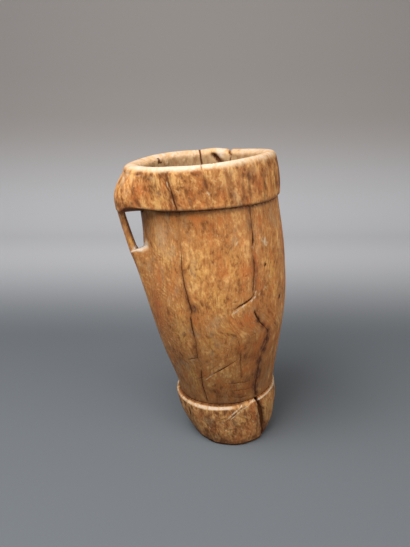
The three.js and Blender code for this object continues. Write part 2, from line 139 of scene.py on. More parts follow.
# How wide (half, mm) and how dark each crack is at a height
FRONT_WIDTH = [
    (70, 0.7), (112, 0.7), (122, 0.4), (138, 0.5), (167, 0.5), (174, 1.0), (196, 1.2), (203, 0.6),
    (208, 1.5), (214, 1.1), (232, 0.75), (258, 0.6), (276, 0.6), (300, 0.5), (323, 0.7),
    (331, 1.2), (343, 1.3), (352, 0.9), (372, 0.5),
]
FRONT_DARK = [
    (66, 0.5), (72, 0.85), (90, 0.8), (116, 0.75), (122, 0.1), (134, 0.15), (141, 0.7),
    (164, 0.6), (173, 0.8), (194, 0.85), (199, 0.3), (204, 0.6), (212, 0.9), (236, 0.85),
    (258, 0.75), (270, 0.6), (278, 0.3), (318, 0.25), (327, 0.6), (334, 0.95), (348, 0.9),
    (356, 0.5), (368, 0.35), (373, 0.1),
]
SIDE_WIDTH = [
    (64, 1.5), (100, 1.3), (130, 0.9), (150, 0.8), (175, 0.7), (186, 1.4), (200, 1.6), (208, 0.5),
    (230, 0.9), (240, 0.8), (262, 1.0), (270, 0.8), (290, 1.5), (300, 0.8), (333, 1.0),
]
SIDE_DARK = [
    (64, 0.8), (90, 0.75), (110, 0.7), (126, 0.5), (140, 0.45), (165, 0.5), (178, 0.5),
    (186, 0.9), (201, 0.85), (206, 0.15), (226, 0.3), (232, 0.8), (244, 0.55), (252, 0.5),
    (263, 0.75), (268, 0.3), (284, 0.3), (290, 0.9), (300, 0.6), (306, 0.4), (333, 0.5),
]

# Cuts and checks in the wall: half width, depth, darkness, and the path as (direction, height)
WALL_CUTS = [
    (1.1, 1.6, 1.0, [(281.8, 208.1), (286.8, 212.9), (291.8, 216.6), (296.1, 220), (298.5, 223.6),
                     (300.1, 227.1)]),
    (0.5, 0.4, 0.7, [(277.2, 218.3), (283.1, 218.7), (290.9, 218.5)]),
    (0.5, 0.3, 0.5, [(267.5, 251.4), (274.8, 250.8), (280.3, 250.7)]),
    (0.6, 0.4, 0.55, [(290.8, 249.1), (293.6, 249.4), (295.9, 250.8)]),
    (2.7, 1.8, 1.0, [(331.2, 213), (328.4, 205)]),
    (1.5, 0.6, 0.7, [(311.4, 262.4), (310.5, 254.8)]),
    (1.2, 0.5, 0.7, [(311.8, 261), (312, 257)]),
    (0.8, 0.7, 0.8, [(255.7, 110.1), (263.4, 118.4), (267.3, 121.7), (277, 130.4),
                     (285.7, 138.3)]),
    (0.5, 0.3, 0.55, [(259, 120.9), (262, 126), (265.2, 130.6)]),
    (0.6, 0.4, 0.55, [(286.3, 154.9), (290.7, 159), (296.4, 161.2)]),
    (0.5, 0.3, 0.5, [(292.7, 173.3), (297, 172), (302.1, 171.8)]),
    (0.8, 0.6, 0.7, [(269.9, 98.2), (284.3, 100.2), (299.9, 99.2)]),
    (0.6, 0.5, 0.6, [(272.7, 86.6), (287.9, 87.5), (301.7, 87.7)]),
    (0.8, 0.6, 0.65, [(278.7, 75.6), (287, 75), (295.2, 75.6)]),
    (0.6, 0.5, 0.6, [(283.1, 173.8), (285.7, 164.3), (287.4, 152.8)]),
    (0.8, 0.6, 0.7, [(287.4, 152.8), (287.5, 129.6), (288.1, 108.2)]),
    (1.4, 0.5, 0.6, [(288.1, 112), (288.3, 107)]),
    (0.6, 0.5, 0.7, [(236.4, 130.8), (241, 134.4), (245.6, 137.2), (251.6, 139.9)]),
    (0.6, 0.3, 0.5, [(239.3, 99.9), (244, 104.2), (251.9, 110.3)]),
    (0.5, 0.3, 0.45, [(230.4, 96.9), (228, 88), (226.8, 78.7)]),
    (0.4, 0.2, 0.4, [(243, 168.3), (240.6, 163), (243.9, 157.6)]),
    (0.7, 0.4, 0.5, [(304.5, 150.5), (306.3, 130.5)]),
    (0.5, 0.3, 0.35, [(262, 240), (262.6, 226), (262, 216)]),
    (0.4, 0.2, 0.3, [(271, 199), (271.6, 180), (272.4, 163)]),
    (0.4, 0.2, 0.3, [(230, 244), (229.6, 224), (230.6, 204)]),
    (0.6, 0.4, 0.5, [(16, 300), (16.4, 262), (17.6, 222), (17, 186)]),
    (0.9, 0.9, 0.8, [(62, 330), (61, 300), (62.4, 268), (61.6, 236), (63, 204), (62.4, 178)]),
    (0.6, 0.4, 0.6, [(92, 330), (92.4, 304), (91.6, 276)]),
    (0.7, 0.5, 0.6, [(124, 250), (123, 220), (124.6, 186), (124, 152), (125, 118)]),
    (0.6, 0.4, 0.55, [(38, 160), (39, 132), (38, 104), (39, 74)]),
    (0.8, 0.7, 0.75, [(150, 130), (151.4, 108), (150.6, 84), (151.6, 66)]),
    (0.7, 0.5, 0.6, [(100, 140), (106, 146), (112, 149)]),
    (0.7, 0.5, 0.6, [(70, 118), (78, 122), (86, 123)]),
    (0.6, 0.4, 0.5, [(20, 116), (28, 120), (36, 121)]),
]

# Pale scratches and chips in the wall: half width, paleness, path
WALL_SCRATCHES = [
    (0.9, 1.0, [(281.2, 203.7), (285.7, 207.8), (290.8, 213.7)]),
    (0.6, 0.6, [(283, 202), (287.5, 207)]),
    (1.1, 1.0, [(296.6, 217.6), (300.3, 222.4), (301, 229)]),
    (1.0, 1.0, [(300.6, 283.4), (301.8, 280.4)]),
    (0.9, 0.45, [(303.4, 224), (305.4, 226.4)]),
    (1.4, 0.4, [(308, 228), (309.4, 231)]),
    (1.1, 0.7, [(314.6, 244), (317.4, 240.6)]),
    (1.1, 0.7, [(320, 233), (322, 229.4)]),
    (1.0, 0.6, [(324.2, 234), (325.6, 230)]),
    (0.9, 0.6, [(309.6, 232.6), (311.6, 228.6)]),
    (0.8, 0.8, [(286.8, 287.9), (288, 290.4), (289, 292.3)]),
    (0.6, 0.5, [(270.2, 299.7), (273.3, 301.7), (275.1, 298.3)]),
    (1.5, 0.85, [(313.9, 291.6), (312.6, 284), (314.6, 281.6)]),
    (1.2, 0.7, [(309.6, 289), (312.6, 286.4), (317, 283.6)]),
    (0.7, 0.8, [(252.3, 105.3), (256.6, 110.4), (260.8, 116.1)]),
    (0.6, 0.5, [(264.5, 123.4), (270, 128)]),
    (0.6, 0.4, [(221.6, 186), (228, 181), (234, 180)]),
    (0.6, 0.4, [(219, 176), (226, 170), (233, 168)]),
    (0.5, 0.35, [(300, 344), (302, 312)]),
    (0.5, 0.4, [(262, 296), (263.6, 292)]),
    (0.5, 0.4, [(255, 300), (256.6, 297.4)]),
    (0.6, 0.5, [(80, 214), (86, 220), (91, 228)]),
    (0.6, 0.5, [(130, 176), (136, 184), (140, 194)]),
]

# Soft patches: direction, height, half spread round and up (mm), strength
WALL_REDS = [
    (257.4, 320.4, 5, 3, 1.0), (265, 319.5, 5, 4, 1.0), (241.7, 317, 5, 2.6, 0.8),
    (293.6, 197, 8, 8, 1.3), (298, 187, 8, 8, 1.2), (288, 190, 7, 8, 0.6), (309, 181, 5, 5, 1.1),
    (302.6, 268, 2.6, 12, 1.2), (298, 256, 5, 8, 0.7), (291, 258, 6, 9, 0.8),
    (303, 240, 4, 10, 1.0),
    (300, 212, 6, 6, 0.4), (236, 232, 9, 20, 0.4), (215, 196, 10, 26, 1.0),
    (222, 240, 7, 14, 0.6), (258, 196, 10, 9, 0.35),
    (309, 162, 10, 12, 0.7), (303, 132, 9, 16, 0.6), (320, 150, 6, 20, 0.5),
    (296, 122, 7, 10, 0.7), (296, 92, 10, 8, 0.7), (284, 84, 9, 6, 0.5), (240, 88, 8, 12, 0.5),
    (316, 204, 8, 12, 0.4), (307, 290, 2, 14, 0.6), (226, 300, 6, 12, 0.4),
    (60, 250, 16, 26, 0.4), (120, 190, 14, 30, 0.4), (20, 150, 12, 22, 0.4),
]
WALL_STAINS = [
    (303, 190, 4.4, 8, 1.1), (308, 180, 5, 6, 1.0), (314, 170, 5, 7, 1.1),
    (314.4, 157, 7, 9, 1.5), (312, 145, 6.6, 9, 1.5), (308, 128, 6, 10, 1.3),
    (306.8, 108, 6, 12, 1.6), (304.6, 90, 6, 10, 1.6), (306.2, 76, 5, 7, 1.2),
    (322, 130, 9, 34, 0.4),
    (296, 100, 7, 10, 0.4), (300, 140, 5, 12, 0.4), (306, 104, 15, 28, 0.52),
    (313, 150, 12, 18, 0.5), (302, 84, 12, 14, 0.4), (299, 164, 14, 16, 0.42),
    (292, 142, 10, 14, 0.34), (280, 96, 9, 12, 0.3), (266, 84, 12, 8, 0.3),
    (301, 262, 4.6, 12, 0.8), (301, 310, 5, 12, 0.75), (300.4, 240, 4, 12, 0.7),
    (251.4, 210, 5.4, 5.8, 1.3), (252.2, 199.6, 2.4, 3, 0.35), (287.4, 146, 2.4, 9, 0.5),
    (288, 112, 3.2, 6, 0.5), (246, 88, 3, 12, 0.4), (302, 300, 3, 16, 0.5),
    (302.8, 326, 4, 6, 0.75),
    (301.2, 286, 3.4, 6, 0.5), (318, 118, 8, 26, 0.35), (300, 104, 6, 14, 0.3),
    (284, 71, 14, 3, 0.4), (330, 150, 8, 40, 0.3), (245.4, 300, 2.6, 18, 0.3),
    (212, 196, 7, 30, 0.3),
    (62, 180, 6, 22, 0.5), (124, 120, 7, 20, 0.5),
]
# Golden patches; the one at 222 degrees below the band is painted light on the wall the band shades
WALL_GOLDS = [
    (258, 262, 16, 26, 0.6), (268, 222, 18, 20, 0.6), (284, 262, 10, 22, 0.5),
    (240, 190, 12, 20, 0.5), (232, 262, 8, 20, 0.5), (276, 180, 12, 14, 0.4),
    (262, 160, 12, 16, 0.4), (318, 250, 9, 20, 0.6), (322, 226, 7, 12, 0.6),
    (254, 246, 8, 10, 0.5), (222, 286, 8, 20, 0.5), (238, 172, 10, 22, 0.6),
    (238, 98, 8, 24, 0.45), (80, 250, 20, 30, 0.4), (150, 220, 14, 30, 0.4),
    (20, 240, 14, 30, 0.35),
]
# Pale patches of painted light, laid on the worn mark; the strongest lightens the wall's left front
# where the rim band shades it
WALL_LIGHT_PATCHES = [
    (227, 292, 14, 24, 0.5), (252, 276, 10, 18, 0.2), (208, 270, 6, 10, 0.2),
    (308, 300, 6, 20, 0.2), (150, 260, 16, 24, 0.2), (60, 230, 16, 24, 0.2),
]

# Marks in the rim band
RIM_CUTS = [
    (1.5, 0.4, 0.5, [(270.4, 373), (271.1, 363.5), (271.9, 350.8)]),
    (0.7, 0.2, 0.25, [(271.3, 347), (271.2, 334)]),
    (0.6, 0.4, 0.5, [(270, 385), (270.2, 372)]),
    (1.5, 0.3, 0.2, [(299.4, 372), (298.6, 360), (298.4, 348), (298.2, 333)]),
    (1.6, 0.4, 0.3, [(304.1, 374), (303.5, 358), (303.5, 336)]),
    (1.3, 0.4, 0.35, [(318.7, 372), (318.4, 357), (318.5, 341)]),
    (1.2, 0.4, 0.4, [(335.3, 373), (335.4, 360), (336, 334)]),
    (1.3, 0.4, 0.35, [(346, 366), (344, 338)]),
    (0.6, 0.3, 0.4, [(262, 370), (262.4, 354), (259, 338)]),
    (0.7, 0.3, 0.4, [(224.7, 360), (223.2, 343), (223, 330)]),
    (0.5, 0.2, 0.35, [(256, 366), (256.6, 350), (257, 336)]),
    (0.5, 0.2, 0.3, [(286, 372), (286.6, 352), (287, 336)]),
    (0.5, 0.2, 0.3, [(235, 360), (234.6, 344), (235.6, 326)]),
    (0.5, 0.2, 0.35, [(326, 368), (326.4, 352), (326, 336)]),
    (0.9, 0.9, 0.85, [(62, 372), (62.6, 352), (62, 328)]),
    (0.7, 0.6, 1.0, [(91.4, 404), (92, 387), (92.6, 380), (92.8, 370), (93, 350), (93, 330)]),
    (0.6, 0.5, 0.9, [(94.6, 400), (95, 387), (95.4, 380), (95.2, 372)]),
    (0.6, 0.4, 0.5, [(124, 370), (124.6, 350), (124, 326)]),
    (0.7, 0.4, 0.5, [(16, 368), (16.4, 352), (16, 336)]),
    (0.5, 0.3, 0.5, [(148, 364), (148.8, 344), (148, 326)]),
]
RIM_SCRATCHES = [
    (0.9, 0.7, [(244.4, 361), (244.8, 354)]), (0.7, 0.6, [(246, 341), (246.6, 334)]),
    (1.1, 0.5, [(250.6, 352), (252, 349)]), (1.2, 1.0, [(271.8, 351), (272.6, 348.4)]),
    (1.5, 0.9, [(200.4, 356.5), (203, 353.6)]), (0.9, 0.5, [(244, 371), (249, 371.6)]),
    (0.7, 0.4, [(262, 344), (266, 340)]), (0.6, 0.4, [(292, 350), (294, 344)]),
    (0.8, 0.5, [(216, 362), (222, 364)]), (0.7, 0.4, [(276, 364), (280, 362)]),
    (0.9, 0.5, [(110, 352), (114, 347)]), (0.9, 0.5, [(30, 356), (35, 352)]),
]
RIM_REDS = [
    (222, 347, 9, 8, 1.0), (218, 337, 7, 7, 0.7), (262, 346, 8, 9, 0.7), (254, 338, 6, 6, 0.5),
    (268, 362, 6, 9, 0.45), (296, 352, 5, 12, 0.4), (313, 358, 8, 12, 0.8), (326, 349, 8, 14, 0.9),
    (308, 343, 6, 8, 0.6), (340, 352, 6, 12, 0.6), (282, 344, 7, 5, 0.35),
    (40, 350, 14, 12, 0.5), (130, 346, 14, 12, 0.5), (88, 350, 10, 10, 0.4),
]
RIM_STAINS = [
    (271, 361, 3, 8, 0.95), (268.6, 371, 4, 5, 0.5), (303.6, 364, 3.4, 9, 0.7),
    (303.6, 346, 3.2, 10, 0.6), (297.6, 352, 2.8, 14, 0.5), (310.4, 360, 2.4, 10, 0.4),
    (318.6, 356, 2.4, 12, 0.65), (327, 354, 2.2, 14, 0.5), (336, 356, 3, 14, 0.65),
    (348, 356, 5, 16, 0.6), (288, 346, 4, 5, 0.35), (276.6, 356, 2, 8, 0.3), (258, 352, 3, 6, 0.3),
    (214.4, 330.4, 3, 3.4, 0.8), (245.6, 360, 3, 10, 0.55), (246.6, 340, 2.4, 8, 0.4),
    (282, 356, 3, 8, 0.2),
    (217.6, 330, 3, 5, 0.6), (286, 356, 12, 13, 0.3), (276, 350, 8, 12, 0.2),
    (62, 350, 4, 16, 0.5), (148, 350, 4, 14, 0.4),
]
RIM_PALES = [
    (206, 363, 9, 4, 0.7), (197, 359, 6, 5, 0.5), (214, 359, 5, 3, 0.4), (232, 363, 9, 2.6, 0.4),
    (290, 374, 14, 3, 0.3), (201, 349, 5, 5, 0.3), (203, 354, 8, 8, 0.55),
    (210, 344, 7, 7, 0.3), (236, 346, 9, 11, 0.26),
]
RIM_GOLDS = [
    (236, 341, 9, 8, 0.7), (234, 351, 6, 8, 0.5), (252.6, 354, 6, 8, 0.4), (318, 344, 5, 7, 0.5),
    (196, 344, 12, 12, 0.5), (284, 342, 8, 6, 0.3), (340, 360, 8, 12, 0.4),
    (328, 352, 12, 16, 0.5), (100, 352, 12, 10, 0.4), (10, 352, 12, 12, 0.3),
]

# Half width of the deep split in the foot, as (height, mm)
SPLIT_WIDTH = [(0, 1.6), (12, 3.4), (30, 4.6), (52, 4.2), (62, 2.4), (80, 1.8)]

# Marks in the foot
FOOT_CUTS = [
    (1.0, 0.7, 0.75, [(221, 55), (220.9, 42), (216.5, 26)]),
    (0.7, 0.4, 0.6, [(281, 37.6), (284, 38.4), (288, 37.2)]),
    (0.6, 0.4, 0.45, [(238, 54), (239, 44), (238, 34)]),
    (0.7, 0.4, 0.4, [(256, 47), (262, 45), (268, 47)]),
    (0.6, 0.4, 0.5, [(290, 30), (294, 22)]),
    (0.7, 0.4, 0.5, [(262, 30), (268, 28), (276, 29)]),
    (0.9, 0.4, 0.5, [(303.4, 12), (304, 30), (303.4, 40)]), (0.8, 0.5, 0.6, [(294, 52),
    (296, 44), (293, 37)]),
    (1.2, 0.9, 0.9, [(240.4, 5), (247, 2.6)]),
    (0.8, 0.5, 0.6, [(60, 60), (60.6, 36), (60, 10)]),
    (0.8, 0.6, 0.7, [(152, 60), (151, 40), (152, 20)]),
    (0.7, 0.5, 0.6, [(98, 52), (98.6, 30), (98, 8)]),
    (0.7, 0.5, 0.6, [(20, 54), (20.6, 34), (20, 14)]),
]
FOOT_SCRATCHES = [
    (0.8, 1.0, [(267.6, 45.9), (276.4, 55.8), (285.6, 64.5)]),
    (0.7, 0.9, [(272.4, 46.8), (283.3, 57.7), (296.5, 66.3)]),
    (0.7, 1.0, [(288.5, 60.4), (295.6, 65.8), (303.8, 68.3)]),
    (0.5, 0.7, [(262, 59.4), (268, 60.2), (274.1, 61)]),
    (0.5, 0.6, [(270, 50.5), (276, 56.6), (280, 60.6)]),
    (0.6, 0.5, [(256, 36), (262, 40), (267, 46)]),
    (0.6, 0.4, [(262, 24), (268, 30)]),
    (1.0, 0.45, [(303.5, 63.8), (306.1, 53.2), (307.1, 40.6)]),
    (1.2, 0.6, [(297.2, 38), (298.4, 36)]),
    (1.2, 0.6, [(262.2, 40.4), (264, 38)]),
    (1.0, 0.6, [(263.2, 30), (265, 27.6)]),
    (1.0, 0.6, [(288, 49), (289.6, 46)]),
    (0.9, 0.5, [(255.6, 52), (257, 49)]),
    (0.9, 0.5, [(282, 31), (284, 28)]),
    (0.9, 0.5, [(245, 30), (247, 27)]),
    (0.9, 0.5, [(274, 20), (276, 17)]),
    (0.9, 0.4, [(292, 16), (294, 13)]),
    (0.8, 0.5, [(100, 48), (108, 54), (116, 58)]),
    (0.8, 0.5, [(40, 44), (48, 52), (55, 58)]),
]
FOOT_REDS = [
    (298.4, 58, 6, 9, 1.0), (297, 42, 7, 10, 0.7), (294, 26, 9, 12, 0.6), (236, 44, 8, 9, 0.7),
    (270, 36, 10, 8, 0.4), (252, 28, 8, 8, 0.5), (282, 12, 14, 6, 0.5),
    (60, 34, 14, 14, 0.4), (130, 30, 14, 14, 0.4),
]
# Patches of dirt on the foot; the strong one low on the right, at 323 degrees, is partly painted
# shadow on the base's shaded side
FOOT_STAINS = [
    (246, 6, 8, 6, 0.6), (276, 6, 16, 4, 0.5), (221, 22, 8, 12, 0.5), (311, 26, 5, 12, 0.5),
    (222, 42, 5, 12, 0.5), (318, 22, 9, 18, 0.6), (323, 8, 13, 12, 1.3), (324, 46, 12, 22, 0.3),
    (328, 40, 8, 18, 0.4), (90, 10, 30, 8, 0.5),
    (0, 20, 20, 16, 0.4), (180, 16, 20, 16, 0.5),
]
FOOT_GOLDS = [
    (323, 50, 8, 10, 0.4), (322, 62, 8, 6, 0.4), (264, 48, 8, 5, 0.35), (286, 42, 8, 6, 0.3),
    (20, 40, 14, 12, 0.3),
]


def smooth(value, low, high):
    """0 below low, 1 above high, and 3t^2 - 2t^3 of the share t between them."""
    share = np.clip((value - low) / (high - low), 0, 1)
    return share * share * (3 - 2 * share)


def fade(value, low, high):
    """1 below low and 0 above high: one less the smooth step."""
    return 1 - smooth(value, low, high)


def mixed(first, second, share):
    """first plus the share of the way from first to second."""
    return first + (second - first) * share


def bell(offset, spread):
    """Bell curve exp(-(offset / spread)^2): 1 in the middle and exp(-1) at its spread."""
    return np.exp(-((offset / spread) ** 2))


def turned(angle, reference):
    """Signed turn in degrees from one direction to another, between -180 and 180."""
    return (angle - reference + 180) % 360 - 180


def swelling(angle, centre, spread):
    """Bell curve of the turn between a direction and a centre."""
    return bell(turned(angle, centre), spread)


def along(table, z):
    """Value at a height, straight between the rows of a table of (height, value)."""
    heights, values = zip(*table)
    return np.interp(z, heights, values)


def steps(low, high, count):
    """Even steps from low to high, one to a row, for as many rings."""
    return np.linspace(low, high, count)[:, None]


def uneven(places, size, seed):
    """Smooth unevenness from -1 to 1: seeded random values at the corners of cells of the given
    size, blended inside each cell by 3t^2 - 2t^3 along the three axes."""
    values = np.random.default_rng(seed).uniform(-1, 1, (32, 32, 32))
    cells = places / size
    base = np.floor(cells).astype(int)
    part = smooth(cells - base, 0, 1)
    total = np.zeros(places.shape[:-1])
    for corner in np.ndindex(2, 2, 2):
        weight = np.prod(np.where(np.array(corner) == 1, part, 1 - part), axis=-1)
        spot = (base + corner) % 32
        total += weight * values[spot[..., 0], spot[..., 1], spot[..., 2]]
    return total


def ragged(places, size, seed):
    """Sum of three layers of unevenness, each half the size and half the height of the last."""
    layers = [uneven(places, size / 2**k, seed + k) / 2**k for k in range(3)]
    return sum(layers) / 1.75


def spaced(low, high, count, spacing):
    """Rising places from low to high whose steps are in proportion to spacing(place): the running
    sum of 1 / spacing is cut into equal parts."""
    fine = np.linspace(low, high, 4001)
    middle = (fine[1:] + fine[:-1]) / 2
    need = np.concatenate([[0], np.cumsum(1 / spacing(middle))])
    return np.interp(np.linspace(0, need[-1], count), need, fine)


class Form:
    """The vessel's shape as functions of direction (degrees) and height (mm)."""

    def __init__(self, sizes):
        """Takes the panel's sizes, turned into millimetres, and works out those that follow."""
        for name in ContainerSizes.__annotations__:
            setattr(self, name, getattr(sizes, name) / MM)
        self.foot_radius = self.neck_radius + self.ledge_width
        self.inner_neck = self.neck_radius - self.wall_thickness
        self.shoulder_radius = self.belly_radius - self.shoulder_draw_in
        self.crest_radius = self.shoulder_radius - CREST_INSET
        self.mouth_radius = self.crest_radius - self.lip_width
        self.band = self.foot_height + self.body_height
        self.lip = self.band + self.band_height
        self.belly = self.foot_height + BELLY_RISE
        self.shelf = float(self.raw_edge(HANDLE_SIDE)) - self.gap_height
        self.low_thickness = self.handle_thickness + self.handle_taper
        self.spur_reach = self.gap_bottom + self.low_thickness
        self.fillet = 0.5 * self.gap_bottom
        self.handle_top = self.shoulder_radius + self.gap_top + self.handle_thickness
        ring = float(self.ring(HANDLE_SIDE, self.band))
        self.lug_reach = self.handle_top + LUG_MARGIN - ring

    def waved(self, base, angle, tilt_x, tilt_y, wave_cos, wave_sin):
        """A tilted level: base plus one turn and two turns of cosine and sine."""
        turn = np.radians(angle)
        tilt = tilt_x * np.cos(turn) + tilt_y * np.sin(turn)
        return base + tilt + wave_cos * np.cos(2 * turn) + wave_sin * np.sin(2 * turn)

    def raw_edge(self, angle):
        """Lower edge of the rim band before it is levelled over the handle: a waved level with a
        bell-shaped rise beside the lug."""
        return self.waved(self.band, angle, *EDGE_WAVES) + 4.8 * swelling(angle, 213, 15)

    def edge(self, angle):
        """Lower edge of the rim band, level over the handle."""
        seat = np.degrees((self.handle_width / 2 + SEAT_MARGIN) / self.shoulder_radius)
        share = smooth(np.abs(turned(angle, HANDLE_SIDE)), seat, 1.8 * seat)
        return mixed(self.raw_edge(HANDLE_SIDE), self.raw_edge(angle), share)

    def crest(self, angle):
        """Top of the lip, with a worn lump beside the notch at the back, and lower towards the
        handle."""
        level = self.waved(self.lip, angle, *LIP_WAVES)
        return level - 3.2 * swelling(angle, 165, 32) + 2 * swelling(angle, 78, 9)

    def heart(self, z):
        """Sideways place of the log's middle: a straight lean, a slight sway, and bell-shaped
        bends back below the band and at the neck."""
        share = z / self.lip
        bends = 2 * bell(z - self.band + 40, 40) + 2.1 * bell(z - self.foot_height, 44)
        return -self.lean * share - 2 * np.sin(2 * np.pi * share) + bends

    def barrel(self, z):
        """Neck to belly as a power of a quarter sine, belly to shoulder as a squared cosine."""
        rise = np.clip((z - self.foot_height) / (self.belly - self.foot_height), 0, 1)
        low = mixed(self.neck_radius, self.belly_radius, np.sin(np.pi / 2 * rise) ** 1.22)
        fall = np.clip((z - self.belly) / (self.band - self.belly), 0, 1)
        high = mixed(self.shoulder_radius, self.belly_radius, np.cos(np.pi / 2 * fall) ** 2)
        return np.where(z < self.belly, low, high)

    def spur(self, angle, z):
        """How far the spur under the handle stands out: a power of the height under its shelf,
        fading to both sides."""
        rise = np.clip((z - self.shelf) / SPUR_HEIGHT + 1, 0, 1) ** 3.2
        arc = np.abs(np.radians(turned(angle, HANDLE_SIDE))) * self.belly_radius
        half = self.handle_width / 2
        return self.spur_reach * rise * fade(arc, half, half + SPUR_FADE)

    def shelf_level(self, angle):
        """Height of the spur's shelf: a step up in the middle, then rising as a square towards
        the front, and falling away behind."""
        arc = np.radians(turned(angle, HANDLE_SIDE)) * self.belly_radius
        rise = np.minimum(0.02 * np.maximum(arc - 4, 0) ** 2, SHELF_RISE)
        middle = self.shelf + SHELF_STEP * smooth(arc, -6, 8)
        return middle - SHELF_FALL * smooth(-arc, 4, 14) + rise

    def ring(self, angle, z):
        """Outside of the rim band, proudest on the handle's side, and bulging on the other as a
        power of half a sine of the way down."""
        down = np.clip((self.crest(angle) - z) / (self.crest(angle) - self.edge(angle)), 0, 1)
        bulge = BAND_BULGE * swelling(angle, 350, 45)
        bulge = bulge * np.maximum(np.sin(np.pi * down), 0) ** 0.7
        return self.shoulder_radius + BAND_STAND - BAND_LEAN * np.cos(np.radians(angle)) + bulge

    def lug(self, angle, z):
        """How far the lug over the handle swells out of the rim band: a sine of the way down from
        the crest, fading to both sides."""
        down = (self.crest(angle) - z) / (self.crest(angle) - self.edge(angle))
        rise = np.sin(np.pi / 2 * np.clip((down - 0.08) / 0.78, 0, 1)) ** 1.1
        flat = np.degrees(self.handle_width / 2 / self.belly_radius)
        away = np.abs(turned(angle, HANDLE_SIDE))
        return self.lug_reach * rise * fade(away, flat, flat + LUG_FADE)

    def band_side(self, angle, z):
        """Outside of the rim band with its lug."""
        return self.ring(angle, z) + self.lug(angle, z)

    def neck(self, angle, radius):
        """Tilted plane in which the wall stands on the foot."""
        turn = np.radians(angle)
        tilt = NECK_TILT[0] * np.cos(turn) + NECK_TILT[1] * np.sin(turn)
        return self.foot_height + tilt * radius / self.neck_radius

    def ledge(self, angle):
        """Outer edge of the worn ledge on top of the foot: lowest at the front, and pinched to a
        line on the right."""
        drop = LEDGE_DROP + 1.9 * swelling(angle, 246, 33) - 2.5 * swelling(angle, 330, 33)
        return self.neck(angle, self.neck_radius) - drop

    def foot(self, angle, z):
        """Side of the foot: a quarter sine from the slightly oval base to its widest."""
        base = self.base_radius - BASE_OVAL * np.cos(np.radians(2 * angle))
        swell = np.sin(np.pi / 2 * np.clip(z / FOOT_SWELL_HEIGHT, 0, 1))
        return mixed(base, self.foot_radius, swell)

    def courses(self, columns, z):
        """Directions of upright columns at a height: each bends with the grain beside the two
        cracks, so that a crack keeps to its own columns all the way."""
        side = along(SIDE_CRACK, z) - SIDE_COLUMN
        near_side = fade(np.abs(turned(columns, SIDE_COLUMN)), 4, 62)
        front = along(FRONT_CRACK, z) - FRONT_COLUMN
        front = front - side * fade(SIDE_COLUMN - FRONT_COLUMN, 4, 62)
        near_front = fade(np.abs(turned(columns, FRONT_COLUMN)), 2, 18)
        return columns + side * near_side + front * near_front * smooth(z, 60, 74)


def column_places():
    """Directions of the upright columns: about 3.3 mm apart at the back, 1.3 mm at the front and
    0.4 mm at the two cracks."""

    def spacing(angle):
        """Less at the front by smooth steps, and divided by one and a bell at each crack."""
        plain = mixed(2.15, 0.84, smooth(angle, 176, 200) * fade(angle, 344, 368))
        cracks = 2.4 * bell(angle - FRONT_COLUMN, 2.4) + 1.8 * bell(angle - SIDE_COLUMN, 3.4)
        return plain / (1 + cracks)

    return spaced(40, 400, 393, spacing)[:-1]


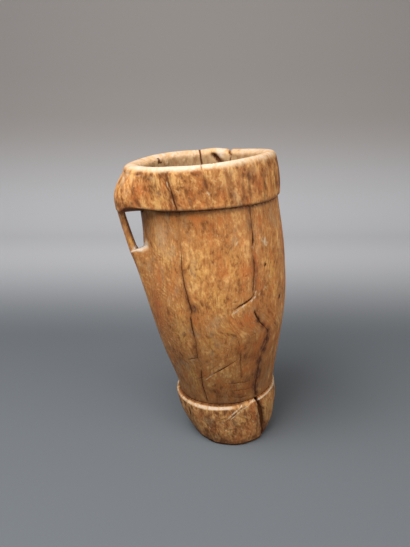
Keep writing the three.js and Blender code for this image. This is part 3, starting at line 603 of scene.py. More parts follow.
class Skin:
    """A closed skin of rings of points round the log, with the marks that it bears."""

    def __init__(self, form):
        """Starts without rings."""
        self.form = form
        self.columns = column_places()
        self.rings = []

    def add(self, radius, z):
        """Adds one ring, or several where radius and z have a row for each."""
        shape = np.broadcast_shapes(np.shape(radius), np.shape(z), self.columns.shape)
        radius = np.atleast_2d(np.broadcast_to(radius, shape))
        z = np.atleast_2d(np.broadcast_to(z, shape))
        self.rings.append((radius, z))

    def finish(self):
        """Joins the rings: places in space, outward directions, and blank marks. The grain's
        places lie on an upright cylinder, where each column stands straight."""
        self.radius = np.concatenate([ring[0] for ring in self.rings]).astype(float)
        self.z = np.concatenate([ring[1] for ring in self.rings]).astype(float)
        self.angle = self.form.courses(self.columns[None, :], self.z)
        turn = np.radians(self.angle)
        x = self.form.heart(self.z) + self.radius * np.cos(turn)
        self.points = np.stack([x, self.radius * np.sin(turn), self.z], axis=-1)
        up = np.roll(self.points, -1, axis=0) - np.roll(self.points, 1, axis=0)
        around = np.roll(self.points, -1, axis=1) - np.roll(self.points, 1, axis=1)
        normals = np.cross(around, up)
        self.normals = normals / np.maximum(np.linalg.norm(normals, axis=-1, keepdims=True), 1e-9)
        flat = np.radians(np.broadcast_to(self.columns[None, :], self.z.shape))
        x = GRAIN_RADIUS * np.cos(flat)
        self.grain = np.stack([x, GRAIN_RADIUS * np.sin(flat), self.z], axis=-1)
        self.push = np.zeros(self.z.shape)
        self.marks = {name: np.zeros(self.z.shape) for name in MARKS}

    def beside(self, course):
        """Distance in mm round the skin from a course of (height, direction): the turn from it
        times the radius, negative on its left."""
        return np.radians(turned(self.angle, along(course, self.z))) * self.radius

    def near(self, path):
        """Distance in mm from every point to a path of (direction, height) corners on the
        unrolled skin, and the share of the path's length at the nearest spot."""
        best = np.full(self.z.shape, 1e9)
        spot = np.zeros(self.z.shape)
        done = 0
        for start, end in zip(path[:-1], path[1:]):
            bend = np.radians(turned(end[0], start[0]))
            rise = end[1] - start[1]
            span = math.hypot(bend * GRAIN_RADIUS, rise)
            x = np.radians(turned(self.angle, start[0])) * self.radius
            y = self.z - start[1]
            across = bend * self.radius
            part = np.clip((x * across + y * rise) / (across * across + rise * rise), 0, 1)
            distance = np.hypot(x - part * across, y - part * rise)
            closer = distance < best
            best = np.where(closer, distance, best)
            spot = np.where(closer, done + part * span, spot)
            done += span
        return best, spot / done

    def raise_mark(self, name, value):
        """Raises a mark to a value wherever it is less."""
        self.marks[name] = np.maximum(self.marks[name], value)

    def cut(self, cuts, reach):
        """V-shaped cuts: depth falls in proportion to the distance from the path, both taper
        towards the path's ends, and the distance wavers a little with the wood."""
        waver = 0.45 * ragged(self.grain, 3.2, 7)
        for width, depth, dark, path in cuts:
            distance, share = self.near(path)
            taper = np.sqrt(np.clip(np.sin(np.pi * np.clip(share, 0.02, 0.98)), 0, 1))
            distance = np.abs(distance + waver * width)
            groove = np.clip(1 - distance / (1.35 * width * taper + 0.15), 0, 1) * reach
            self.push -= depth * groove
            self.raise_mark("crack", dark * taper * smooth(groove, 0, 0.62))

    def scratch(self, scratches, reach):
        """Pale scratches, nearly even across and broken up along their length."""
        broken = mixed(0.35, 1, smooth(ragged(self.grain, 2.6, 23), -0.55, 0.1))
        for width, pale, path in scratches:
            band = fade(self.near(path)[0], 0.45 * width, 1.35 * width) * reach
            self.push -= 0.15 * band
            self.raise_mark("worn", pale * band * broken)

    def patch(self, name, patches, reach):
        """Soft patches: a bell in the distance round and up, with a ragged edge."""
        edge = 1 + 0.5 * ragged(self.grain * [1, 1, 0.5], 7, 31)
        for angle, z, wide, high, strength in patches:
            across = np.radians(turned(self.angle, angle)) * self.radius / wide
            up = (self.z - z) / high
            soft = np.exp(-(across * across + up * up) * edge)
            self.raise_mark(name, strength * soft * reach)

    def crack_along(self, course, widths, darks, depth, low, high, reach):
        """A drying crack that follows a course of (height, direction), as wide and dark as its
        tables say, with wavering edges, and as deep as the root of the way in from them."""
        width = along(widths, self.z)
        dark = along(darks, self.z)
        waver = 0.5 * ragged(self.grain * [0.15, 0.15, 1], 4, 41)
        inside = smooth(self.z, low - 2, low + 2) * fade(self.z, high - 2, high + 2) * reach
        distance = np.abs(self.beside(course) + waver)
        groove = np.clip(1 - distance / (width * (1.1 + waver)), 0, 1)
        self.push -= depth * dark * np.sqrt(groove) * inside
        self.raise_mark("crack", dark * smooth(groove, 0, 0.7) * inside)
        self.raise_mark("stain_and_shade", 0.75 * dark * bell(distance, 3.2) * inside)

    def weather(self, amount, seed, reach):
        """Unevenness of handwork: broad flats left by the blade along the grain, and a small
        general roughness."""
        blade = uneven(self.grain * [1, 1, 0.3], 17, seed)
        small = ragged(self.grain * [1, 1, 0.45], 5, seed + 5)
        self.push += amount * (0.75 * blade + 0.28 * small) * reach

    def build(self, name, node, material):
        """Moves every point along its outward direction and makes the closed mesh."""
        points = self.points + self.normals * self.push[..., None]
        marks = {key: value.ravel() for key, value in self.marks.items()}
        return make_piece(
            name, node, material, points.reshape(-1, 3), self.grain.reshape(-1, 3), marks,
            lattice(*self.z.shape, True), [],
        )


def lattice(rows, columns, wrapped):
    """Quads between neighbouring points of a grid, whose columns close into rings, and whose last
    row joins the first where it is wrapped."""
    row = np.arange(rows if wrapped else rows - 1)[:, None]
    column = np.arange(columns)[None, :]
    corners = [(row, column), (row, column + 1), (row + 1, column + 1), (row + 1, column)]
    quads = [(r % rows) * columns + c % columns for r, c in corners]
    return np.stack(quads, axis=-1).reshape(-1, 4)


def make_piece(name, node, material, points, grain, marks, quads, triangles):
    """Puts worked-out points (mm) and faces into a smooth mesh with its marks as attributes, and
    sets it in place of its CAD node."""
    mesh = bpy.data.meshes.new(name)
    corners = np.concatenate([np.ravel(quads), np.ravel(triangles)]).astype(np.int32)
    sizes = [4] * len(quads) + [3] * len(triangles)
    starts = np.concatenate([[0], np.cumsum(sizes)[:-1]]).astype(np.int32)
    mesh.vertices.add(len(points))
    mesh.vertices.foreach_set("co", (points * MM).astype(np.float32).ravel())
    mesh.loops.add(len(corners))
    mesh.loops.foreach_set("vertex_index", corners)
    mesh.polygons.add(len(sizes))
    mesh.polygons.foreach_set("loop_start", starts)
    mesh.update(calc_edges=True)
    mesh.validate()
    mesh.shade_smooth()
    for key, value in marks.items():
        layer = mesh.attributes.new(key, "FLOAT", "POINT")
        layer.data.foreach_set("value", np.clip(value, 0, 1).astype(np.float32))
    layer = mesh.attributes.new("grain", "FLOAT_VECTOR", "POINT")
    layer.data.foreach_set("vector", (grain * MM).astype(np.float32).ravel())
    piece = bpy.data.objects.new(name, mesh)
    bpy.context.scene.collection.objects.link(piece)
    mesh.materials.append(material)
    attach(piece, "root")
    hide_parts(node)
    return piece


def make_rod(name, node, material, points, grain, marks):
    """A closed piece from rings of points (rings, sides, 3): quads between neighbouring rings, and
    at both ends a fan of triangles round the mean of the ring."""

    def with_ends(places):
        """The places in one list, and after them the means of the first and of the last ring."""
        ends = [places[0].mean(axis=0), places[-1].mean(axis=0)]
        return np.concatenate([places.reshape(-1, 3), ends])

    rows, sides = points.shape[:2]
    ring = np.arange(sides)
    following = (ring + 1) % sides
    end = np.full(sides, rows * sides)
    last = end - sides
    low_cap = np.stack([end, following, ring], axis=-1)
    high_cap = np.stack([end + 1, last + ring, last + following], axis=-1)
    marks = {key: np.append(value.ravel(), [0, 0]) for key, value in marks.items()}
    return make_piece(
        name, node, material, with_ends(points), with_ends(grain), marks,
        lattice(rows, sides, False), np.concatenate([low_cap, high_cap]),
    )


def carve_rim(form, material):
    """Rim band: out along the underside, round its lower edge, up the side, over the worn lip as
    two quarter ellipses, and down the inside."""
    skin = Skin(form)
    angle = skin.columns
    edge = form.edge(angle)
    crest = form.crest(angle)
    inner = form.shoulder_radius - form.wall_thickness
    skin.add(inner, edge)
    skin.add(form.shoulder_radius - 3, edge)
    outer = form.band_side(angle, edge) - EDGE_ROUND
    share = steps(0, 1, 8)
    skin.add(mixed(form.shoulder_radius - 1.5, outer, share), edge + 0.5 * np.sin(np.pi * share))
    turn = np.radians([[22], [45], [68]])
    skin.add(outer + EDGE_ROUND * np.sin(turn), edge + EDGE_ROUND * (1 - np.cos(turn)))
    z = mixed(edge + EDGE_ROUND, crest - LIP_OUTSIDE, steps(0, 1, 44))
    skin.add(form.band_side(angle, z), z)
    turn = np.radians(steps(9, 90, 12))
    shoulder = form.band_side(angle, crest - LIP_OUTSIDE)
    z = crest - LIP_OUTSIDE * (1 - np.sin(turn))
    skin.add(mixed(form.crest_radius, shoulder, np.cos(turn)), z)
    turn = np.radians(steps(80, 0, 9))
    z = crest - LIP_INSIDE * (1 - np.sin(turn))
    skin.add(mixed(form.crest_radius, form.mouth_radius, np.cos(turn)), z)
    share = steps(0, 1, 26)[1:-1]
    skin.add(mixed(form.mouth_radius, inner, share), mixed(crest - LIP_INSIDE, edge, share))
    skin.add(inner, edge + SUPPORT)
    skin.finish()

    drop = form.crest(skin.angle) - skin.z
    rise = skin.z - form.edge(skin.angle)
    outside = smooth(skin.radius, form.crest_radius - 2, form.crest_radius + 1)
    within = 1 - outside
    above = smooth(rise, 0.3, 2)
    skin.weather(0.5, 11, above)
    skin.crack_along(FRONT_CRACK, FRONT_WIDTH, FRONT_DARK, 1.4, 300, 372, outside * above)
    skin.cut(RIM_CUTS, np.maximum(outside, 0.8) * above)
    skin.scratch(RIM_SCRATCHES, outside * above)
    skin.patch("red", RIM_REDS, outside)
    skin.patch("stain_and_shade", RIM_STAINS, outside)
    skin.patch("gold", RIM_GOLDS, outside)

    # The worn lip is pale, narrower where the wood still holds, and chipped along its edge
    wander = ragged(skin.grain, 9, 51)
    over = smooth(skin.radius, form.mouth_radius - 1.5, form.mouth_radius + 0.5)
    low = 8 + 2 * wander + 3.6 * swelling(skin.angle, 325, 36)
    lip = fade(drop, 1.2 + 1.2 * wander, low) * over
    inner_lip = fade(drop, 5 + 1.6 * wander, 11 + 2 * wander) * within
    paleness = mixed(0.74, 1, swelling(skin.angle, 256, 42)) + 0.34 * ragged(skin.grain, 2.4, 57)
    skin.raise_mark("worn", np.maximum(lip, 0.92 * inner_lip) * paleness)
    skin.patch("worn", RIM_PALES, outside)
    chips = smooth(ragged(skin.grain, 4.2, 61), 0.3, 0.75) * fade(drop, 2, 7)
    skin.push -= 1.1 * chips

    # Dark holes and pale lumps inside the mouth on the left; the lip itself isn't raised by them
    speck = smooth(ragged(skin.grain, 3.4, 67), 0.06, 0.34)
    back_left = swelling(skin.angle, 140, 16) * fade(drop, 9, 16) * smooth(drop, 2, 4)
    skin.raise_mark("crack", 0.9 * speck * back_left * within)
    lumps = smooth(ragged(skin.grain * [1, 1, 0.5], 5, 63), 0.02, 0.4) * fade(drop, 10, 18)
    lumps = lumps * within * swelling(skin.angle, 128, 30)
    skin.raise_mark("worn", lumps)
    skin.push += 1.3 * lumps * smooth(drop, 2, 5)
    skin.push = np.where(drop < 4, np.minimum(skin.push, 0), skin.push)

    # The broken place at the back: a notch through the lip, a slanting slash beside it, and a
    # small hollow under the pale lump
    notch = swelling(skin.angle, 64 - 0.3 * drop, 1.2) * fade(drop, 6, 14)
    skin.push -= 6 * notch
    skin.raise_mark("crack", 0.9 * notch)
    slash = bell(turned(skin.angle, 81) + 0.55 * (drop - 5), 2.9) * bell(drop - 12, 7) * within
    under = swelling(skin.angle, 70, 7) * bell(drop - 20, 3) * within
    skin.push -= 7 * slash + 3 * under
    skin.raise_mark("crack", np.clip(1.15 * slash + 0.7 * under, 0, 1))
    skin.raise_mark("worn", 0.95 * swelling(skin.angle, 73, 8) * fade(drop, 9, 15))
    skin.marks["worn"] *= 1 - np.clip(1.4 * notch + 1.2 * slash, 0, 1)

    # The crease beside the lug, darkened with painted shade, and the dark line along the band's
    # lower edge, painted shade with some dirt
    crease = swelling(skin.angle, 217 + 0.22 * (336 - skin.z), 2)
    crease = crease * fade(rise, 6, 17) * outside * above
    skin.push -= 1.3 * crease
    skin.raise_mark("stain_and_shade", 0.8 * crease)
    skin.raise_mark("stain_and_shade", fade(rise, 0.3, 2.2) * outside)
    skin.raise_mark("stain_and_shade", 0.5 * fade(rise, 1.5, 5) * outside)
    inside = fade(skin.radius, form.mouth_radius - 0.5, form.mouth_radius + 3)
    skin.raise_mark("inside", inside * smooth(drop, 2, 9))
    return skin.build("rim_band_wood", "rim_band", material)


def carve_wall(form, material):
    """Wall: out along the neck, up the barrel with its spur, over the spur's shelf, up behind the
    handle to the rim band, and down the hollow."""
    skin = Skin(form)
    angle = skin.columns
    edge = form.edge(angle)
    for radius in (form.inner_neck, form.neck_radius - 4):
        skin.add(radius, form.neck(angle, radius))

    def spacing(z):
        """Less low down by a smooth step, and by a bell at the height of the slanting gash."""
        return 1.55 - 0.5 * fade(z, 140, 160) - 0.5 * bell(z - 213, 14)

    shelf = form.shelf_level(angle)
    low_end = form.shelf - SHELF_ROUND
    share = spaced(form.foot_height, low_end, 136, spacing)[:, None] - form.foot_height
    share = share / (low_end - form.foot_height)
    z = mixed(form.neck(angle, form.neck_radius), shelf - SHELF_ROUND, share)
    skin.add(form.barrel(z) + form.spur(angle, z), z)

    # Over the shelf: the way in is a smooth step and the way up is small, so that the lip and the
    # corner are rounded; where there is no spur both become a plain climb
    step = steps(0, 1, 14)[1:]
    spur = form.spur(angle, form.shelf)
    climb = -SHELF_ROUND * (1 - step) ** 3 + form.fillet * step**3
    plain = mixed(-SHELF_ROUND, form.fillet, step)
    z = shelf + mixed(plain, climb, smooth(spur / form.spur_reach, 0, 0.5))
    skin.add(form.barrel(z) + spur * fade(step, 0, 1), z)
    z = mixed(shelf + form.fillet, edge, steps(0, 1, 42)[1:])
    skin.add(form.barrel(z), z)
    skin.add(form.barrel(edge) - 4, edge)
    for z in (edge, edge - SUPPORT):
        skin.add(form.barrel(z) - form.wall_thickness, z)
    z = mixed(form.neck(angle, form.inner_neck), edge, steps(1, 0, 24)[1:-1])
    skin.add(form.barrel(z) - form.wall_thickness, z)
    skin.finish()

    below = form.edge(skin.angle) - skin.z
    above = skin.z - form.neck(skin.angle, form.neck_radius)
    outside = smooth(skin.radius - form.barrel(skin.z), -3, -1)
    reach = outside * smooth(above, 0.5, 4) * smooth(below, 0.2, 2)
    free = outside * smooth(above, 0.2, 1.5)
    skin.weather(0.55, 3, reach)
    skin.crack_along(FRONT_CRACK, FRONT_WIDTH, FRONT_DARK, 1.1, 60, 345, free)
    skin.crack_along(SIDE_CRACK, SIDE_WIDTH, SIDE_DARK, 1.8, 50, 345, free)
    skin.cut(WALL_CUTS, reach)
    skin.scratch(WALL_SCRATCHES, reach)
    skin.patch("red", WALL_REDS, outside)
    skin.patch("stain_and_shade", WALL_STAINS, outside)
    skin.patch("gold", WALL_GOLDS, outside)
    # The pale patches are painted light
    skin.patch("worn", WALL_LIGHT_PATCHES, outside)

    # The shallow hollow beside the side crack
    groove = bell(skin.beside(SIDE_CRACK), 3.4) * np.exp(-(((skin.z - 274) / 13) ** 4)) * outside
    skin.push -= 1.4 * groove
    skin.raise_mark("stain_and_shade", 0.45 * groove)

    # Pinched in under the rim band and darkened there with painted shade and some dirt; the crease
    # over the foot and the wall just above it are darkened with painted shade
    skin.push -= 1.3 * bell(below, 2) * outside
    thick = 2.2 + 1.8 * swelling(skin.angle, 222, 22) + 2.4 * swelling(skin.angle, 312, 24)
    line = fade(below, 0.3 * thick, 1.5 * thick) * outside
    skin.raise_mark("crack", 0.3 * line)
    skin.raise_mark("stain_and_shade", 0.95 * line)
    skin.raise_mark("stain_and_shade", 0.45 * fade(below, 2, 8) * outside)
    crease = fade(above, 0.2, 2.6) * outside
    left = mixed(0.25, 1, fade(skin.angle, 282, 300))
    skin.push -= 0.7 * crease
    skin.raise_mark("stain_and_shade", 0.75 * crease * left)
    skin.raise_mark("stain_and_shade", 0.35 * fade(above, 2, 16) * outside * left)

    # Pale on the shelf and up the wall beside it: partly wear where fingers rub, partly a painted
    # highlight that lightens the shelf in the lug's shade
    off = turned(skin.angle, HANDLE_SIDE)
    up = skin.z - form.shelf_level(skin.angle)
    front = smooth(off, 2, 5)
    saddle = smooth(up, -2.2 - 3 * front, -0.8 - 2.4 * front) * fade(up, 5, 9)
    saddle = saddle * fade(np.abs(np.radians(off)) * form.belly_radius, 22, 32)
    stand = smooth(form.spur(skin.angle, form.shelf) / form.spur_reach, 0, 0.16)
    skin.raise_mark("worn", 1.4 * saddle * stand * outside)
    skin.raise_mark("worn", 1.2 * swelling(skin.angle, 203, 5) * bell(up - 4, 7) * outside)

    # Slanting ripples of the blade on the left side: a sine up and round, broken into patches
    flank = swelling(skin.angle, 225, 19) * smooth(skin.z, 96, 140) * fade(skin.z, 262, 300)
    around = np.radians(skin.angle) * GRAIN_RADIUS
    slant = (skin.z + 0.42 * around) / 5.4 + 0.9 * ragged(skin.grain, 16, 131)
    stroke = smooth(np.sin(2 * np.pi * slant), -0.2, 0.9) * flank * outside
    stroke = stroke * smooth(ragged(skin.grain, 11, 133), -0.4, 0.2)
    skin.push -= 0.3 * stroke
    skin.raise_mark("tooled", stroke)
    skin.raise_mark("inside", fade(skin.radius - form.barrel(skin.z), -9, -4))
    return skin.build("vessel_wall_wood", "vessel_wall", material)


def carve_foot(form, material):
    """Foot: out under the base, round its worn edge, up the swelling side, over the worn ledge to
    the neck, and down the bowl of the hollow."""
    skin = Skin(form)
    angle = skin.columns
    skin.add(FLOOR_RADIUS, 0)
    skin.add(FLOOR_RADIUS + 4, 0)
    turn = np.radians([[0], [22], [45], [68]])
    base = form.foot(angle, 0) - UNDERCUT_INSET
    skin.add(base + UNDERCUT_WIDTH * np.sin(turn), UNDERCUT_HEIGHT * (1 - np.cos(turn)))
    ledge = form.ledge(angle)
    z = mixed(UNDERCUT_HEIGHT, ledge - 1.2, steps(0, 1, 56))
    skin.add(form.foot(angle, z), z)
    share = steps(0, 1, 13)[1:]
    top = mixed(form.foot(angle, ledge), form.neck_radius - 0.6, share)
    climb = 0.35 * (1 - (1 - share) ** 2) + 0.65 * share
    skin.add(top, mixed(ledge, form.neck(angle, form.neck_radius), climb) - 0.4)
    for radius in (form.inner_neck + 6, form.inner_neck):
        skin.add(radius, form.neck(angle, radius))
    skin.add(FLOOR_RADIUS + 2.2, (form.foot_height + FLOOR_HEIGHT) / 2)
    skin.add(FLOOR_RADIUS, FLOOR_HEIGHT)
    skin.finish()

    outside = smooth(skin.radius, 51, 53) * smooth(skin.z, -1, 0.5)
    on_side = outside * smooth(skin.z, 0.2, 2.5)
    below = form.ledge(skin.angle) - skin.z
    from_neck = skin.radius - form.neck_radius
    skin.weather(0.75, 19, on_side)
    skin.push += 0.35 * ragged(skin.grain, 6, 73) * on_side
    skin.cut(FOOT_CUTS, on_side)
    skin.scratch(FOOT_SCRATCHES, on_side)
    skin.patch("red", FOOT_REDS, outside)
    skin.patch("stain_and_shade", FOOT_STAINS, outside)
    skin.patch("gold", FOOT_GOLDS, outside)

    # The deep split, widest below the ledge: the wood stands lower on its right, and a soft
    # recess lies on its left
    away = skin.beside(SIDE_CRACK)
    waver = ragged(skin.grain * [0.2, 0.2, 1], 6, 79)
    split = 1 - np.abs(away + 0.7 * waver) / (1.25 * along(SPLIT_WIDTH, skin.z))
    split = np.clip(split, 0, 1)
    skin.push -= 5.5 * np.sqrt(split) * on_side
    skin.raise_mark("crack", smooth(split, 0.05, 0.5) * on_side)
    skin.push -= smooth(away, -1, 3) * fade(away, 14, 26) * on_side
    skin.raise_mark("stain_and_shade", 0.5 * bell(away, 4) * on_side)
    bay = smooth(away, -10, -6.5) * fade(away, -2.5, 0.5)
    bay = bay * smooth(skin.z, 16, 32) * fade(skin.z, 54, 62) * on_side
    skin.push -= 1.5 * bay
    skin.raise_mark("inside", 0.6 * bay)

    # A little fuller at the front of the base, and worn back on the right, where the ledge is
    # only a line
    skin.push += 2.6 * swelling(skin.angle, 270, 44) * fade(skin.z, 6, 40) * on_side
    spare = np.where(below > 0, 1, smooth(from_neck, 0.6, 3)) * smooth(skin.z, 14, 44)
    skin.push -= 2.4 * spare * swelling(skin.angle, 346, 26) * on_side

    # The ledge is worn pale down to its corner, but for the right front where rasp strokes cross it
    gap = 1 - 0.85 * smooth(skin.angle, 271, 279) * fade(skin.angle, 294, 302)
    full = fade(turned(skin.angle, 238), 30, 70)
    right = smooth(skin.angle, 303, 308) * fade(skin.angle, 352, 366)
    low = mixed(0.1, 0.7, np.maximum(full, right)) * (1 + 0.5 * ragged(skin.grain, 8, 83))
    inset = mixed(2.6, 2.2, full) + 0.9 * swelling(skin.angle, 190, 30) - 0.7 * right
    band = fade(below, low, low + 1) * smooth(from_neck, inset - 0.6, inset + 0.5)
    worn = mixed(0.8, 1.1, np.maximum(full, 0.5 * right)) * (0.9 + 0.5 * ragged(skin.grain, 3, 89))
    worn = worn * (1 - 0.4 * swelling(skin.angle, 196, 38))
    skin.raise_mark("worn", band * worn * gap * outside)
    # The crease where the wall meets the foot is darkened with painted shade, left of the split
    crease = fade(from_neck, 0.8, 2.8) * smooth(below, -30, -1) * smooth(skin.z, 40, 50)
    skin.raise_mark("crack", 0.6 * crease * outside * fade(skin.angle, 282, 300))
    nicks = smooth(ragged(skin.grain, 4.5, 97), 0.35, 0.7) * fade(np.abs(below), 2, 5)
    skin.push -= nicks * on_side
    # The base's lowest few millimetres are darkened towards the floor: painted contact shadow with
    # some dirt
    skin.raise_mark("stain_and_shade", 0.6 * fade(skin.z, 1, 9) * outside)
    skin.raise_mark("crack", 0.95 * fade(skin.z, 2.2, 5) * outside)
    skin.raise_mark("inside", fade(skin.radius, 50, 56))
    return skin.build("foot_band_wood", "foot_band", material)


def carve_handle(form, material):
    """Strap: rounded rectangles (superellipses of power 2/3) stacked from inside the spur to
    inside the lug. The outside is a quarter sine, the ends are flared like the worn gap, and each
    section is bowed like the wall."""

    def flared(gap, reach):
        """exp(-(gap / reach)^1.5): 1 at an end of the strap, and less with the gap from it."""
        return np.exp(-((gap / reach) ** 1.5))

    def rounded(value):
        """A sine or cosine raised to the power 2/3, with its sign kept."""
        return np.sign(value) * np.abs(value) ** (2 / 3)

    top = float(form.edge(HANDLE_SIDE))
    z = mixed(form.shelf - STRAP_SUNK, top + STRAP_RAISED, steps(0, 1, 120))
    up = np.clip((z - form.shelf) / (top - form.shelf), 0, 1)
    foot = form.barrel(z) + form.spur(HANDLE_SIDE, z)
    start = form.barrel(form.shelf) + form.spur_reach
    outer = mixed(start, form.handle_top, np.sin(np.pi / 2 * up)) - 0.1 * np.sin(np.pi * up)
    sunk = np.clip((form.shelf - z) / STRAP_SUNK, 0, 1)
    outer = np.where(z < form.shelf, foot, outer) + 0.35 - 1.1 * sunk
    to_low = np.maximum(z - form.shelf, 0)
    to_top = np.maximum(top - z, 0)
    flare = 0.35 * form.fillet * (flared(to_low, 3.6) + 0.8 * flared(to_top, 3.2))
    thickness = mixed(form.low_thickness, form.handle_thickness, up) + flare
    width = mixed(form.handle_width, form.handle_waist, np.sin(np.pi * up))
    width = width + 5 * flared(to_low, 7) + 4 * flared(to_top, 6)
    turn = np.linspace(0, 2 * np.pi, 64, endpoint=False)[None, :]
    across = rounded(np.sin(turn)) * width / 2
    deep = rounded(np.cos(turn)) * thickness / 2
    out = outer - thickness / 2 + deep - across**2 / (2 * outer)
    side = np.radians(HANDLE_SIDE)
    x = form.heart(z) + out * np.cos(side) - across * np.sin(side)
    y = out * np.sin(side) + across * np.cos(side)
    height = np.broadcast_to(z, x.shape)
    points = np.stack([x, y, height], axis=-1)
    grain = np.stack([out * 0.9, across, height], axis=-1)

    relief = 0.35 * uneven(grain * [1, 1, 0.5], 8, 101) + 0.18 * ragged(grain, 3, 103)
    relief = relief * smooth(z, form.shelf - 2, form.shelf + 4) * fade(z, top - 3, top + 1)
    away = points - points.mean(axis=1, keepdims=True)
    away /= np.linalg.norm(away, axis=-1, keepdims=True)
    points = points + away * relief[..., None]

    level = np.broadcast_to((z - form.shelf) / (top - form.shelf), x.shape)
    inward = smooth(-np.cos(turn), -0.2, 0.7)
    # Pale low on the inner face: partly wear from fingers, partly a painted highlight like the
    # shelf's
    rubbed_and_highlit = 1.4 * bell(level - 0.06, 0.13) * smooth(-np.cos(turn), -0.7, 0.5)
    fine = ragged(grain, 3, 107)
    marks = {name: np.zeros(x.shape) for name in MARKS}
    marks["worn"] = np.maximum(rubbed_and_highlit, 0.35 * smooth(fine, 0.2, 0.6) * (1 - inward))
    marks["red"] = bell(level - 0.52, 0.2) * (0.5 + 0.4 * fine)
    # The inner face is stained; the top, where the strap runs under the lug, is darkened with
    # painted shade
    marks["stain_and_shade"] = np.maximum(
        0.45 * bell(level - 0.5, 0.24) * inward, 0.8 * smooth(level, 0.86, 1)
    )
    marks["crack"] = 0.9 * smooth(level, 0.955, 1)
    marks["gold"] = 0.7 * bell(level - 0.24, 0.12)
    return make_rod("strap_handle_wood", "handle", material, points, grain, marks)


def carve_floor(form, material):
    """Floor: a thick disc with a flat underside and a top dished as a square of the radius, rough
    from the gouge. The rings run from the middle of the underside, up the edge and in to the
    middle of the top."""
    turn = np.linspace(0, 2 * np.pi, 160, endpoint=False)[None, :]
    under = steps(0.02, 1, 10)
    over = steps(1, 0.02, 34)
    radius = FLOOR_RADIUS * np.concatenate([under, over])
    z = np.concatenate([np.zeros_like(under), FLOOR_HEIGHT - FLOOR_DISH * (1 - over**2)])
    x = form.heart(z) + radius * np.cos(turn)
    points = np.stack([x, radius * np.sin(turn), np.broadcast_to(z, x.shape)], axis=-1)
    top = np.concatenate([np.zeros_like(under), smooth(1 - over, 0, 0.1)])
    ripples = np.sin(points[..., 0] / 2.6 + ragged(points, 14, 117))
    bumps = 0.9 * ragged(points, 9, 113) + 0.5 * ripples
    points[..., 2] += np.minimum(bumps * top, 0.6)
    marks = {name: np.zeros(x.shape) for name in MARKS}
    marks["inside"] = np.broadcast_to(top, x.shape)
    marks["stain_and_shade"] = 0.5 * top * smooth(ragged(points, 16, 119), -0.2, 0.6)
    grain = points[..., [2, 1, 0]]
    return make_rod("hollow_floor_wood", "floor", material, points, grain, marks)


class Nodes:
    """A material's node tree with short calls that add a node and link it up."""

    def __init__(self, name):
        """Starts a material with its output, its shader and the places on the object."""
        self.material = bpy.data.materials.new(name)
        self.material.use_nodes = True
        self.tree = self.material.node_tree
        self.tree.nodes.clear()
        output = self.tree.nodes.new("ShaderNodeOutputMaterial")
        self.shader = self.tree.nodes.new("ShaderNodeBsdfPrincipled")
        self.tree.links.new(self.shader.outputs[0], output.inputs["Surface"])
        self.place = self.tree.nodes.new("ShaderNodeTexCoord").outputs["Object"]
        self.axes = self.tree.nodes.new("ShaderNodeSeparateXYZ")
        self.join(self.place, self.axes.inputs[0])

    def join(self, value, socket):
        """Links a socket, or sets a plain value."""
        if isinstance(value, bpy.types.NodeSocket):
            self.tree.links.new(value, socket)
        else:
            socket.default_value = value

    def mark(self, name, output="Fac"):
        """Reads one of the mesh's own attributes."""
        node = self.tree.nodes.new("ShaderNodeAttribute")
        node.attribute_name = name
        return node.outputs[output]

    def sums(self, operation, first, second, third=0.0, clamp=False):
        """A Math node."""
        node = self.tree.nodes.new("ShaderNodeMath")
        node.operation = operation
        node.use_clamp = clamp
        for value, socket in zip((first, second, third), node.inputs):
            self.join(value, socket)
        return node.outputs[0]

    def times(self, first, second):
        """The product of two values."""
        return self.sums("MULTIPLY", first, second)

    def stretched(self, vector, scale):
        """A vector multiplied along its three axes."""
        node = self.tree.nodes.new("ShaderNodeVectorMath")
        node.operation = "MULTIPLY"
        self.join(vector, node.inputs[0])
        node.inputs[1].default_value = scale
        return node.outputs[0]

    def noise(self, vector, scale, detail=3, rough=0.6, distortion=0.0):
        """A Noise Texture's value, about 0 to 1."""
        node = self.tree.nodes.new("ShaderNodeTexNoise")
        self.join(vector, node.inputs["Vector"])
        node.inputs["Scale"].default_value = scale
        node.inputs["Detail"].default_value = detail
        node.inputs["Roughness"].default_value = rough
        node.inputs["Distortion"].default_value = distortion
        return node.outputs["Fac"]

    def between(self, value, low, high, out_low=0.0, out_high=1.0):
        """Smooth step of a value between two bounds."""
        node = self.tree.nodes.new("ShaderNodeMapRange")
        node.interpolation_type = "SMOOTHSTEP"
        for number, socket in zip((value, low, high, out_low, out_high), node.inputs):
            self.join(number, socket)
        return node.outputs[0]

    def blend(self, share, first, second, mode="MIX"):
        """A Mix node for colours, which may be sockets or have three values."""
        node = self.tree.nodes.new("ShaderNodeMix")
        node.data_type = "RGBA"
        node.blend_type = mode
        self.join(share, node.inputs[0])
        for value, socket in ((first, node.inputs[6]), (second, node.inputs[7])):
            linked = isinstance(value, bpy.types.NodeSocket)
            self.join(value if linked else (*value, 1.0), socket)
        return node.outputs[2]

    def even(self, value):
        """A grey of the given brightness."""
        node = self.tree.nodes.new("ShaderNodeCombineColor")
        for socket in node.inputs:
            self.join(value, socket)
        return node.outputs[0]

    def bump(self, height, distance, strength, below=None):
        """A Bump node, on top of another where one is given."""
        node = self.tree.nodes.new("ShaderNodeBump")
        node.inputs["Strength"].default_value = strength
        node.inputs["Distance"].default_value = distance
        self.join(height, node.inputs["Height"])
        if below is not None:
            self.join(below, node.inputs["Normal"])
        return node.outputs[0]


